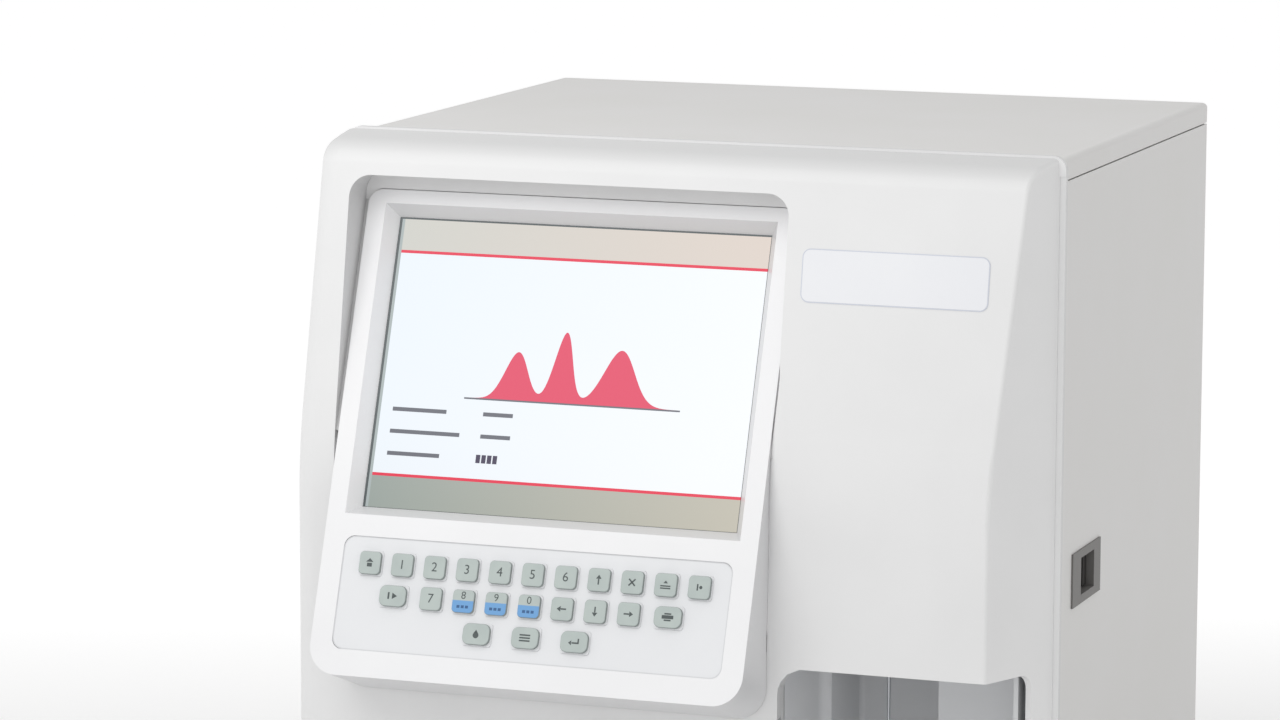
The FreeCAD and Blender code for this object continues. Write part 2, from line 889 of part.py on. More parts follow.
def chassis():
    """Base plate with a tongue under the moulded front, a front bulkhead and a rear edge fold."""
    half = half_cover - s.sheet - s.panel_clearance
    plate = block((-half, half), (0.0, rear_inside), (s.base_height, base_top))
    tongue = block((-half, half - s.right_setback), (-s.base_reach, 0.0), (s.base_height, base_top))
    bulkhead = block((-half, half), (bulkhead_front, bulkhead_back), (base_top, cover_under))
    console_hole = block(
        (recess_left, recess_right), (-1.0, s.bulkhead_sheet + 2), (recess_bottom - 10, recess_top + 8)
    )
    bay_hole = block(
        (bay_left - s.liner_wall - 2, bay_right + s.liner_wall + 1),
        (-1.0, s.bulkhead_sheet + 2),
        (base_top + 8, lift_top + s.lift_plate + 12),
    )
    recorder_hole_back = block(
        (-recorder_left - 1, -recorder_left + s.recorder_width + 1),
        (-1.0, s.bulkhead_sheet + 2),
        (s.recorder_bottom - 1, s.recorder_bottom + s.recorder_height + 1),
    )
    bolt_hole = block(
        (half - 8, half - 2.5),
        (-1.0, s.bulkhead_sheet + 2),
        (s.latch_middle - s.bolt_height / 2 - 1, s.latch_middle + s.bolt_height / 2 + 1),
    )
    fold = block((-half * 0.9, half * 0.9), (rear_inside - s.base_sheet, rear_inside), (base_top, base_top + 12))
    return cut(fuse(plate, tongue, bulkhead, fold), console_hole, bay_hole, recorder_hole_back, bolt_hole)


def rubber_feet():
    feet = []
    for x in (-s.foot_spread / 2, s.foot_spread / 2):
        for y in (-s.foot_front, s.foot_rear):
            foot = doc.addObject("Part::Cone", "Foot")
            bind(foot, "Radius1", s.foot_radius * 0.85)
            bind(foot, "Radius2", s.foot_radius)
            bind(foot, "Height", s.base_height)
            bind(foot, "Placement.Base.x", x)
            bind(foot, "Placement.Base.y", y)
            feet.append(foot)
    return group(*feet)


def top_cover():
    """A lid with a short lip on each side and at the rear, bent with rounded corners."""
    body = doc.addObject("PartDesign::Body", "TopCover")
    lip = cover_top - s.lip_height
    outer = new_sketch(body, "XY_Plane", lip)
    draw_rectangle(outer, (-half_cover, half_cover), (s.panel_clearance, s.cabinet_depth))
    pad(body, outer, s.lip_height)
    round_edges(
        body,
        s.cover_bend,
        lambda e: lies_at(e, Z, float(cover_top)) and not lies_at(e, Y, float(s.panel_clearance)),
    )
    inner = new_sketch(body, "XY_Plane", cover_under)
    inside = half_cover - s.sheet
    draw_rectangle(inner, (-inside, inside), (s.panel_clearance - 1, rear_inside))
    pocket(body, inner, s.lip_height + 1)
    return body


def side_pan(sign):
    """A side panel folded in along its four edges; sign is -1 for the left and 1 for the right."""
    outer = half_cover
    inner = half_cover - s.sheet
    fold = half_cover - s.panel_fold

    def across(a, b):
        return (a, b) if sign > 0 else (-b, -a)

    y = (panel_front, s.cabinet_depth)
    z = (panel_bottom, panel_top)
    fold_y = bulkhead_back + s.panel_clearance
    skin = block(across(inner, outer), y, z)
    front = block(across(fold, inner), (fold_y, fold_y + s.sheet), z)
    low = block(across(fold, inner), (fold_y, rear_inside), (z[0], z[0] + s.sheet))
    high = block(across(fold, inner), (fold_y, rear_inside), (z[1] - s.sheet, z[1]))
    return skin, [front, low, high]


def left_panel():
    skin, folds = side_pan(-1)
    return fuse(skin, *folds)


hinge_x = half_cover - s.hinge_inset
hinge_y = s.cabinet_depth - s.hinge_inset
door_flange_x = hinge_x - s.hinge_inset - 1.5
rear_right = hinge_x - s.hinge_sweep + 0.7


def right_door():
    """The right side as a door: a pan with a rear corner fold and two hinge ears."""
    skin, folds = side_pan(1)
    corner = block((door_flange_x, half_cover - s.sheet), (rear_inside, s.cabinet_depth), (panel_bottom, panel_top))
    ears = []
    for low in (panel_bottom, panel_top - s.sheet):
        ears.append(
            block((door_flange_x, half_cover - s.sheet), (hinge_y - 6, rear_inside), (low, low + s.sheet))
        )
    holes = [
        rod(s.hinge_pin_radius + s.running_gap, (hinge_x, hinge_y, panel_bottom - 1), s.overall_height, "Z"),
        block(
            (half_cover - s.sheet - 1, half_cover + 1),
            (s.latch_front + 2, s.latch_front + s.latch_length - 2),
            around(s.latch_middle, s.latch_height - 4),
        ),
        block(
            (half_cover - s.panel_fold - 1, half_cover - s.sheet - 2),
            (0.0, bulkhead_back + s.panel_clearance + s.sheet + 1),
            around(s.latch_middle, s.bolt_height + 2),
        ),
    ]
    return cut(fuse(skin, corner, *folds, *ears), *holes)


def door_hinge_pins():
    """Two pins on small brackets, one on the base plate and one under the top cover."""
    length = 6.0
    bottom_pin = rod(s.hinge_pin_radius, (hinge_x, hinge_y, base_top), panel_bottom - base_top + length, "Z")
    pin_foot = rod(s.hinge_pin_radius * 1.2, (hinge_x, hinge_y, base_top), s.panel_clearance / 2, "Z")
    arm = 16.0
    top_z = panel_top + s.seam_gap / 2
    top_bracket = block((hinge_x - arm, hinge_x + 2), (hinge_y - 12, hinge_y + 2), (top_z, top_z + 2))
    tab = block((hinge_x - arm, hinge_x - arm + 2), (hinge_y - 12, hinge_y + 2), (top_z + 2, cover_under))
    top_pin = rod(s.hinge_pin_radius, (hinge_x, hinge_y, top_z - length), length, "Z")
    return group(fuse(bottom_pin, pin_foot), fuse(top_bracket, tab, top_pin))


def rear_panel():
    """The back, with a slotted fan grille and openings for the inlet, the ports and the nozzles."""
    plate = block((-half_cover + s.sheet, rear_right), (rear_inside, s.cabinet_depth), (panel_bottom, panel_top))
    holes = []
    slot_count = 9
    span = s.fan_size - 12
    for index in range(slot_count):
        offset = span * ((index + 0.5) / slot_count - 0.5)
        across = math.sqrt(max(1 - (2 * (index + 0.5) / slot_count - 1) ** 2, 0.1))
        z = fan_z + offset
        for side in (-1, 1):
            near, far = fan_x + 2 * side, fan_x + side * (span / 2 * across)
            x = (near, far) if side > 0 else (far, near)
            holes.append(block(x, (rear_inside - 1, s.cabinet_depth + 1), (z - 2.2, z + 2.2)))
    holes.append(
        block(
            around(inlet_x, s.inlet_width),
            (rear_inside - 1, s.cabinet_depth + 1),
            around(inlet_z, s.inlet_height),
        )
    )
    for low, height in port_places():
        holes.append(block((port_x, port_x + port_width), (rear_inside - 1, s.cabinet_depth + 1), (low, low + height)))
    for index in range(4):
        holes.append(
            rod(
                s.nozzle_radius + 2.5,
                (nozzle_x + s.nozzle_pitch * index, rear_inside - 1, nozzle_z),
                s.sheet + 2,
                "Y",
            )
        )
    return cut(plate, *holes)


# Latch of the side door: a dark frame with a finger recess, and a sliding bolt

def door_latch_frame():
    y = (s.latch_front, s.latch_front + s.latch_length)
    z = around(s.latch_middle, s.latch_height)
    face = block((half_cover, half_cover + s.latch_proud), y, z)
    neck = block(
        (half_cover - s.latch_cup_depth, half_cover),
        (y[0] + 2.3, y[1] - 2.3),
        (z[0] + 2.3, z[1] - 2.3),
    )
    window_y = (s.latch_window_front, s.latch_window_front + s.latch_window_length)
    window_z = around(s.latch_middle, s.latch_window_height)
    window = block((half_cover - s.latch_cup_depth + 1.5, half_cover + s.latch_proud + 1), window_y, window_z)
    bolt_way = block(
        (bolt_inner - 0.3, bolt_outer + 0.3),
        (y[0] - 1, window_y[1] + 1),
        around(s.latch_middle, s.bolt_height + 0.6),
    )
    return cut(fuse(face, neck), window, bolt_way)


bolt_inner = half_cover - 8.2
bolt_outer = half_cover - 6.2


def latch_bolt():
    """The bolt at its open end of travel, with a ribbed thumb pad in the recess."""
    y_back = s.latch_window_front + s.latch_window_length - 0.6
    bar = block(
        (bolt_inner, bolt_outer),
        (bulkhead_back + 1.5, y_back),
        around(s.latch_middle, s.bolt_height),
    )
    pad_front = y_back - 7
    thumb = block(
        (bolt_outer, bolt_outer + 3),
        (pad_front, y_back),
        around(s.latch_middle, s.latch_window_height - 2),
    )
    return fuse(bar, thumb)


# Sampling bay

def bay_plan(grow):
    """Plan of the bay's hollow, grown outward by a wall."""
    return [
        (bay_left - grow, -s.front_reach + s.moulding + 1, 0),
        (bay_right + grow, -s.front_reach + s.moulding + 1, 0),
        (bay_right + grow, s.bay_back + grow, 6 + grow),
        (channel_right + grow, s.bay_back + grow, 0),
        (channel_right + grow, s.channel_back + grow, 3 + grow),
        (channel_left - grow, s.channel_back + grow, 3 + grow),
        (channel_left - grow, s.bay_back + grow, 0),
        (bay_left - grow, s.bay_back + grow, channel_left - bay_left - 0.5 + grow),
    ]


def bay_liner():
    wall = s.liner_wall
    outer = plan_prism(bay_plan(wall), s.bay_floor - wall, s.bay_top + wall)
    hollow = plan_prism(bay_plan(0.0), s.bay_floor, s.bay_top)
    shell = outer.cut(hollow).common(front_form(s.moulding + 0.4, s.channel_back + 20))
    opening = solid_box(
        (bay_right - 1, rim_width), (-s.front_reach, -s.bay_jamb + 1), (s.bay_floor, s.bay_top)
    )
    mouth = solid_box(
        (bay_left, rim_width),
        (-s.front_reach, -s.front_reach + s.moulding + 3),
        (s.bay_floor - wall - 1, s.bay_top + wall + 1),
    )
    needle = solid_rod(s.needle_hole, (needle_x, s.needle_y, s.bay_top - 1), wall + 2, Z)
    return shell.cut(opening).cut(mouth).cut(needle)


lift_low = s.bay_top + s.liner_wall
rod_y = s.needle_y + 16


def probe_lift_frame():
    """Two guide rods between a lower and an upper plate, with the lift motor on top."""
    half_width = s.lift_rod_offset + 12
    plate_y = (s.needle_y - 14, s.channel_back + s.liner_wall)
    x = (needle_x - half_width, needle_x + half_width)
    low = block(x, plate_y, (lift_low, lift_low + s.lift_plate))
    high = block(x, plate_y, (lift_top, lift_top + s.lift_plate))
    back = block(x, (plate_y[1] - s.lift_plate, plate_y[1]), (lift_low + s.lift_plate, lift_top))
    rods = [
        rod(s.lift_rod_radius, (needle_x + side * s.lift_rod_offset, rod_y, lift_low), lift_top - lift_low, "Z")
        for side in (-1, 1)
    ]
    motor_z = lift_top + s.lift_plate
    motor = block(around(needle_x, 36.0), (plate_y[1] - 38, plate_y[1] - 2), (motor_z, motor_z + 30))
    hole = rod(s.needle_hole, (needle_x, s.needle_y, lift_low - 1), s.lift_plate + 2, "Z")
    return cut(fuse(low, high, back, motor, *rods), hole)


def probe_carriage():
    half_width = s.lift_rod_offset + 8
    z = (s.carriage_rest, s.carriage_rest + s.carriage_height)
    body = block(
        (needle_x - half_width, needle_x + half_width), (s.needle_y - 8, rod_y + 7), z
    )
    bores = [
        rod(
            s.lift_rod_radius + s.running_gap,
            (needle_x + side * s.lift_rod_offset, rod_y, z[0] - 1),
            s.carriage_height + 2,
            "Z",
        )
        for side in (-1, 1)
    ]
    seat = rod(s.needle_radius * 2, (needle_x, s.needle_y, z[0] - 1), s.carriage_height + 2, "Z")
    return cut(body, *bores, seat)


def sample_needle():
    """The needle: a thin tube with a bevelled tip, held by a collar in the carriage."""
    body = doc.addObject("PartDesign::Body", "Needle")
    sketch = new_sketch(body, "XZ_Plane")
    top = s.carriage_rest + s.carriage_height
    radius = s.needle_radius
    draw_polygon(
        sketch,
        [
            (0.0, s.needle_tip),
            (radius * 0.3, s.needle_tip),
            (radius, s.needle_tip + radius * 2),
            (radius, s.carriage_rest),
            (radius * 2, s.carriage_rest),
            (radius * 2, top + 5),
            (radius, top + 7),
            (radius, top + 14),
            (0.0, top + 14),
        ],
    )
    turned = body.newObject("PartDesign::Revolution", "Turned")
    turned.Profile = sketch
    turned.ReferenceAxis = (sketch, ["V_Axis"])
    turned.Angle = 360
    doc.recompute()
    return body


def probe_wipe():
    """The block under the bay's roof that wipes the needle, with its two hose spigots."""
    z = (s.bay_top - s.wipe_height, s.bay_top)
    body = block(around(needle_x, s.wipe_size), around(s.needle_y, s.wipe_size), z)
    spigots = [
        rod(2.0, (needle_x + side * 6, s.needle_y + s.wipe_size / 2, z[0] + s.wipe_height / 2), 8, "Y")
        for side in (-1, 1)
    ]
    hole = rod(s.needle_radius + 0.4, (needle_x, s.needle_y, z[0] - 1), s.wipe_height + 2, "Z")
    return cut(fuse(body, *spigots), hole)


tube_key_y = s.channel_back - 10


def tube_key():
    """The plate behind the needle that starts the intake when a tube is pressed on it."""
    body = doc.addObject("PartDesign::Body", "TubeKey")
    face = new_sketch(body, "XZ_Plane", -tube_key_y)
    low = s.bay_floor + 22
    middle = (channel_left + channel_right) / 2
    draw_rectangle(face, around(middle, s.tube_key_width), (low, low + s.tube_key_height))
    pad(body, face, 3.0)
    round_edges(body, 4.0, lambda e: runs_along(e, Y))
    stem = new_sketch(body, "XZ_Plane", -tube_key_y)
    draw_rectangle(stem, around(middle, 8.0), around(low + s.tube_key_height / 2, 8.0))
    pad(body, stem, s.channel_back - tube_key_y - s.tube_key_travel - s.fit_gap, True)
    return body


# Recorder behind its own flap in the lower left of the front

rec_x = (-recorder_left + s.fit_gap, -recorder_left + s.recorder_width - s.fit_gap)
rec_z = (s.recorder_bottom + s.fit_gap, s.recorder_bottom + s.recorder_height - s.fit_gap)
pivot_z = s.recorder_bottom + s.recorder_pivot_rise
spindle_z = s.recorder_bottom + s.spindle_rise


def recorder_body():
    """A box open to the front, with a floor, a print head bar and a spindle for the paper."""
    wall = s.recorder_wall
    front = -s.front_reach + 0.5
    outer = solid_box(rec_x, (front, s.recorder_back), rec_z)
    inner = solid_box(
        (rec_x[0] + wall, rec_x[1] - wall), (front - 1, s.recorder_back - wall), (rec_z[0] + wall, rec_z[1] - wall)
    )
    step = solid_box(
        (rec_x[0] + wall, rec_x[1] - wall), (front - 1, -s.recorder_pivot_y + 6), (rec_z[0] - 1, rec_z[0] + wall + 1)
    )
    roof_step = solid_box(
        (rec_x[0] + wall, rec_x[1] - wall), (front - 1, -s.recorder_pivot_y + 4), (rec_z[1] - wall - 1, rec_z[1] + 1)
    )
    length = rec_x[1] - rec_x[0]
    spindle = solid_rod(s.spindle_radius, (rec_x[0], -s.spindle_y, spindle_z), length, X)
    head = solid_box(
        (rec_x[0] + wall, rec_x[1] - wall), (-s.front_reach + 18, -s.front_reach + 30), (rec_z[1] - wall - 9, rec_z[1] - wall)
    )
    holes = solid_rod(
        s.pivot_radius + s.running_gap, (rec_x[0] - 1, -s.recorder_pivot_y, pivot_z), length + 2, X
    )
    return outer.cut(inner).cut(step).cut(roof_step).fuse(spindle).fuse(head).cut(holes)


def recorder_door():
    """The flap, with a grip at its top edge, two arms and the pivot pins."""
    wall = s.recorder_wall
    x = (rec_x[0] + wall + s.fit_gap, rec_x[1] - wall - s.fit_gap)
    y = (-s.front_reach - 1.5, -s.front_reach + 1.5)
    z = (pivot_z - 2.5, rec_z[1] - 3.5)
    flap = side_prism(
        [(y[0], z[0], 2.0), (y[1], z[0], 0), (y[1], z[1], 0), (y[0], z[1], 1.2)], x[0], x[1]
    )
    hollow = solid_rod(9.0, ((x[0] + x[1]) / 2, y[0] + 1.2, z[1] - 4), 8.0, Z)
    grip = solid_box(
        ((x[0] + x[1]) / 2 - 14, (x[0] + x[1]) / 2 + 14), (y[0] - 1, y[0] + 1.2), (z[1] - 7, z[1] + 1)
    )
    pins = [
        solid_rod(s.pivot_radius, (start, -s.recorder_pivot_y, pivot_z), wall + s.fit_gap + 3, X)
        for start in (rec_x[0] + 0.2, rec_x[1] - 0.2 - wall - s.fit_gap - 3)
    ]
    lugs = [
        solid_box((low, low + 3), (-s.front_reach + 1.5, -s.recorder_pivot_y + 3.5), (pivot_z - 2.5, pivot_z + 5))
        for low in (x[0], x[1] - 3)
    ]
    solid = flap.cut(grip)
    for piece in lugs + pins:
        solid = solid.fuse(piece)
    return solid


def paper_roll():
    body = doc.addObject("PartDesign::Body", "PaperRoll")
    middle = (rec_x[0] + rec_x[1]) / 2
    sketch = new_sketch(body, "YZ_Plane", middle - s.roll_width / 2)
    draw_circle(sketch, -s.spindle_y, spindle_z, s.roll_radius)
    draw_circle(sketch, -s.spindle_y, spindle_z, s.spindle_radius + s.roll_gap)
    pad(body, sketch, s.roll_width)
    return body


# Inside of the cabinet

def divider_plate():
    """An upright plate that carries the fluid side on its right, folded to stand on the base."""
    x = (divider_x, divider_x + 1.5)
    plate = block(x, (s.divider_front, rear_inside - s.base_sheet - 2), (base_top, cover_under - 15))
    foot = block((divider_x - 14, divider_x), (s.divider_front, rear_inside - s.base_sheet - 2), (base_top, base_top + 1.5))
    shelf = block(
        (divider_x + 1.5, divider_x + 62), (s.divider_front + 10, s.divider_front + 105), (shelf_low, shelf_top)
    )
    window_top = cover_under - s.window_drop
    window_y = (s.divider_front + 30, s.divider_front + 30 + s.window_size)
    window = block((divider_x - 1, divider_x + 3), window_y, (window_top - s.window_size, window_top))
    return cut(fuse(plate, foot, shelf), window)


divider_face = divider_x + 1.5


def counting_baths():
    """Two counting baths with a funnel bottom and a drain, standing on the shelf."""
    baths = []
    for index in range(2):
        y = s.divider_front + 34 + index * 46
        x = divider_face + 34
        cup = rod(s.bath_radius, (x, y, shelf_top), s.bath_height, "Z")
        bore = rod(s.bath_radius - 3, (x, y, shelf_top + 14), s.bath_height, "Z")
        drain = rod(3.0, (x + s.bath_radius - 2, y, shelf_top + 6), 12, "X")
        aperture = block(
            (divider_face, x - s.bath_radius + 3), around(y, 12.0), (shelf_top + 12, shelf_top + 26)
        )
        baths.append(cut(fuse(cup, drain, aperture), bore))
    return group(*baths)


def syringe_block():
    """A bracket on the divider with two glass barrels, their top valve heads and the drive motor."""
    y_mid = s.divider_front + 160
    z_low = syringe_low
    x = divider_face + 20
    bracket = block((divider_face, divider_face + 8), around(y_mid, 70.0), (z_low - 70, z_low + s.barrel_height + 20))
    pieces = [bracket]
    cuts = []
    for side in (-1, 1):
        y = y_mid + side * 18
        head_z = z_low + s.barrel_height
        pieces.append(rod(s.barrel_radius, (x, y, z_low), s.barrel_height, "Z"))
        pieces.append(block((divider_face + 8, x + 11), around(y, 22.0), (head_z, head_z + 16)))
        cuts.append(rod(s.plunger_radius + 0.3, (x, y, z_low - 1), s.barrel_height - 6, "Z"))
    motor = block((divider_face + 8, divider_face + 44), around(y_mid, 36.0), (z_low - 108, z_low - 72))
    carrier = block((divider_face, divider_face + 8), around(y_mid, 36.0), (z_low - 108, z_low - 70))
    return cut(fuse(*pieces, motor, carrier), *cuts)


def syringe_plungers():
    """Both plungers on one crossbar, shown drawn fully down."""
    y_mid = s.divider_front + 160
    x = divider_face + 20
    bar_z = syringe_low - 60
    bar = block((divider_face + 8.5, x + 12), around(y_mid, 60.0), (bar_z, bar_z + 8))
    rods = [
        rod(s.plunger_radius, (x, y_mid + side * 18, bar_z + 8), 52 + 20, "Z")
        for side in (-1, 1)
    ]
    return fuse(bar, *rods)


def valve_bank():
    """Five pinch valves in a row on the divider."""
    y_span = (s.divider_front + 8, s.divider_front + 124)
    pieces = [block((divider_face, divider_face + 4), y_span, around(valve_z, 40.0))]
    for index in range(5):
        y = s.divider_front + 22 + index * 23
        size = s.valve_size
        pieces.append(block((divider_face + 4, divider_face + 34), around(y, size), around(valve_z, size)))
        pieces.append(rod(size * 0.3, (divider_face + 34, y, valve_z), 8, "X"))
    return fuse(*pieces)


def vacuum_chamber():
    """A sealed canister standing on the base plate, with two spigots on its lid."""
    body = doc.addObject("PartDesign::Body", "Chamber")
    x, y = divider_face + 70, s.divider_front + 60
    base = new_sketch(body, "XY_Plane", base_top)
    draw_circle(base, x, y, s.chamber_radius)
    pad(body, base, s.chamber_height)
    lid = new_sketch(body, "XY_Plane", base_top + s.chamber_height)
    draw_circle(lid, x, y, s.chamber_radius + 3)
    pad(body, lid, 6.0)
    for side in (-12, 12):
        spigot = new_sketch(body, "XY_Plane", base_top + s.chamber_height + 6)
        draw_circle(spigot, x, y + side, 3.0)
        pad(body, spigot, 12.0)
    return body


def vacuum_pump():
    """A motor lying on a bracket with its pump head."""
    x, y = supply_x[1] + 14, s.divider_front + 90
    z = base_top + 8 + s.pump_radius
    saddle = block((x, x + 60), around(y, 30.0), (base_top, z - s.pump_radius * 0.8))
    motor = rod(s.pump_radius, (x, y, z), 60, "X")
    head = block((x + 60, x + 90), around(y, s.pump_radius * 2.2), (base_top, z + s.pump_radius * 1.1))
    return fuse(saddle, motor, head)


def power_supply():
    """A closed metal box with a row of cooling slots, screwed to the base plate."""
    y = (s.divider_front + 40, s.divider_front + 40 + s.supply_length)
    case = block(supply_x, y, (base_top, base_top + s.supply_height))
    slots = [
        block(
            (supply_x[0] + 6, supply_x[1] - 6),
            (y[0] + 20 + index * 12, y[0] + 24 + index * 12),
            (base_top + s.supply_height - 3, base_top + s.supply_height + 1),
        )
        for index in range(8)
    ]
    return cut(case, *slots)


port_x = board_x + 6
port_width = 12.5


def port_places():
    """Lower edge and height of each socket on the main board's rear edge."""
    return [(board_low + 15, 31.0), (board_low + 55, 31.0), (board_low + 95, 53.0)]


def main_board():
    """The upright board on spacers from the left panel, with three sockets through the back."""
    front = s.divider_front - 20
    board = block((board_x, board_x + s.board_thickness), (front, rear_inside - 2), (board_low, board_high))
    pieces = [board]
    for y in (front + 15, rear_inside - 36.3):
        for z in (board_low + 10, board_high - 10):
            pieces.append(rod(3.0, (-half_cover + s.sheet, y, z), half_cover - s.sheet + board_x, "X"))
    for low, height in port_places():
        z = (low + s.fit_gap, low + height - s.fit_gap)
        far_x = port_x + port_width - s.fit_gap
        pieces.append(block((board_x + s.board_thickness, far_x), (rear_inside - 16, rear_inside - 1), z))
        pieces.append(block((port_x + s.fit_gap, far_x), (rear_inside - 1, s.cabinet_depth + 5), z))
    chips = [(50.0, 45.0, 34.0), (110.0, 115.0, 40.0), (60.0, 155.0, 24.0), (155.0, 55.0, 24.0)]
    chip_x = (board_x + s.board_thickness, board_x + s.board_thickness + 3)
    for along, up, width in chips:
        y, z = front + along, board_low + up
        pieces.append(block(chip_x, (y, y + width), (z, z + width)))
    return fuse(*pieces)


# Rear fittings

fan_y = (rear_inside - s.fan_depth, rear_inside)


def cooling_fan():
    """The fan's square frame with its round duct and the spokes that carry the hub."""
    half = s.fan_size / 2
    frame = block((fan_x - half, fan_x + half), fan_y, (fan_z - half, fan_z + half))
    duct = rod(half - 3, (fan_x, fan_y[0] - 1, fan_z), s.fan_depth + 2, "Y")
    spoke_y = (fan_y[0], fan_y[0] + 3)
    spokes = [
        block((fan_x - half + 1, fan_x + half - 1), spoke_y, around(fan_z, 4.0)),
        block(around(fan_x, 4.0), spoke_y, (fan_z - half + 1, fan_z + half - 1)),
        rod(14.0, (fan_x, fan_y[0], fan_z), 3, "Y"),
        rod(2.0, (fan_x, fan_y[0] + 3, fan_z), 12, "Y"),
    ]
    return fuse(cut(frame, duct), *spokes)


def fan_rotor():
    """Hub and blades; each blade is a thin sector set at a pitch."""
    hub_start = fan_y[0] + 4
    hub = solid_rod(15.0, (fan_x, hub_start, fan_z), 18, Y)
    bore = solid_rod(2.0 + s.running_gap, (fan_x, hub_start - 1, fan_z), 12.5, Y)
    centre = Vector(float(fan_x), float(hub_start) + 9, float(fan_z))
    blade = Part.makeBox(float(s.fan_size) / 2 - 19, 1.2, 17, Vector(14, -0.6, -8.5))
    blade.rotate(Vector(), X, 48)
    rotor = hub.cut(bore)
    count = int(s.blade_count)
    for index in range(count):
        copy = blade.copy()
        copy.rotate(Vector(), Y, 360.0 * index / count)
        copy.translate(centre)
        rotor = rotor.fuse(copy)
    return rotor


def fluid_ports():
    """Four hose nozzles for diluent, rinse, lyse and waste, each with a hexagonal nut."""
    nozzles = []
    for index in range(4):
        x = nozzle_x + s.nozzle_pitch * index
        flange = rod(s.nozzle_radius + 5, (x, s.cabinet_depth, nozzle_z), 3, "Y")
        neck = rod(s.nozzle_radius + 2.2, (x, rear_inside - 6, nozzle_z), s.sheet + 6, "Y")
        spigot = rod(s.nozzle_radius, (x, s.cabinet_depth, nozzle_z), s.nozzle_length, "Y")
        bore = rod(s.nozzle_radius - 1.5, (x, rear_inside - 8, nozzle_z), s.nozzle_length + 20, "Y")
        nozzles.append(cut(fuse(flange, neck, spigot), bore))
    return group(*nozzles)


def power_inlet():
    """Mains inlet, fuse drawer and switch frame in one flanged housing."""
    wall = s.fit_gap
    x = around(inlet_x, s.inlet_width - wall * 2)
    z = around(inlet_z, s.inlet_height - wall * 2)
    body = block(x, (rear_inside - 26, s.cabinet_depth), z)
    flange = block(
        around(inlet_x, s.inlet_width + 8), (s.cabinet_depth, s.cabinet_depth + 2), around(inlet_z, s.inlet_height + 8)
    )
    socket = block(
        around(inlet_x, 25.0), (s.cabinet_depth - 16, s.cabinet_depth + 3), (inlet_z - 24, inlet_z - 7.5)
    )
    switch = block(
        around(inlet_x, 22.4), (s.cabinet_depth - 14, s.cabinet_depth + 3), (rocker_z - 10, rocker_z + 10)
    )
    pin = rod(1.5, (inlet_x - 12.5, rocker_y, rocker_z), 25, "X")
    return fuse(cut(fuse(body, flange), socket, switch), pin)


rocker_z = inlet_z + 14
rocker_y = s.cabinet_depth - 5
ROCKER_TILT = 8.0


def power_rocker():
    """The rocker of the mains switch, resting on its OFF side."""
    face = [(-3.0, -8.6, 0), (6.5, -8.6, 1.0), (4.6, 0.0, 0), (6.5, 8.6, 1.0), (-3.0, 8.6, 0)]
    rocker = side_prism(face, -10.7, 10.7)
    rocker = rocker.cut(Part.makeCylinder(1.5 + float(s.running_gap), 30, Vector(-15, 0, 0), X))
    rocker.rotate(Vector(), X, -ROCKER_TILT)
    rocker.translate(Vector(float(inlet_x), float(rocker_y), float(rocker_z)))
    return rocker


# Every sub-part of the instrument

keep("chassis", chassis())
keep("rubber_feet", rubber_feet())
keep_shape("front_fascia", front_fascia())
keep("top_cover", top_cover())
keep("left_panel", left_panel())
keep("right_door", right_door())
keep("door_hinge_pins", door_hinge_pins())
keep("door_latch_frame", door_latch_frame())
keep("latch_bolt", latch_bolt())
keep("rear_panel", rear_panel())
keep_shape("console_housing", console_housing())
keep("display_module", display_module(), CONSOLE)
keep("keypad_plate", keypad_plate(), CONSOLE)
keep("key_board", key_board(), CONSOLE)
for key_name, key_x, key_y, key_width, key_height in key_table():
    keep(key_name, key_body(key_width, key_height), CONSOLE * Placement(Vector(key_x, key_y, 0), Rotation()))
keep_shape("bay_liner", bay_liner())
keep("probe_lift_frame", probe_lift_frame())
keep("probe_carriage", probe_carriage())
keep("sample_needle", sample_needle(), HOME * Placement(Vector(needle_x, s.needle_y, 0), Rotation()))
keep("probe_wipe", probe_wipe())
keep("tube_key", tube_key())
keep_shape("recorder_body", recorder_body())
keep_shape("recorder_door", recorder_door())
keep("paper_roll", paper_roll())
keep("divider_plate", divider_plate())
keep("counting_baths", counting_baths())
keep("syringe_block", syringe_block())
keep("syringe_plungers", syringe_plungers())
keep("valve_bank", valve_bank())
keep("vacuum_chamber", vacuum_chamber())
keep("vacuum_pump", vacuum_pump())
keep("power_supply", power_supply())
keep("main_board", main_board())
keep("cooling_fan", cooling_fan())
keep_shape("fan_rotor", fan_rotor())
keep("fluid_ports", fluid_ports())
keep("power_inlet", power_inlet())
keep_shape("power_rocker", power_rocker())
doc.recompute()

for thing in doc.Objects:
    if "Invalid" in thing.State or "Error" in thing.State:
        raise RuntimeError(f"{thing.Name} ({thing.Label}) failed: {thing.State}")
for thing in subparts:
    if thing.Shape.isNull() or not thing.Shape.isValid():
        raise RuntimeError(f"{thing.Label} has no valid shape")

os.makedirs("parts", exist_ok=True)
for thing in subparts:
    thing.Shape.exportStep(f"parts/{thing.Label}.step")
print(len(subparts), "sub-parts")
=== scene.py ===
import math

import bmesh
import bpy
from mathutils import Matrix, Vector


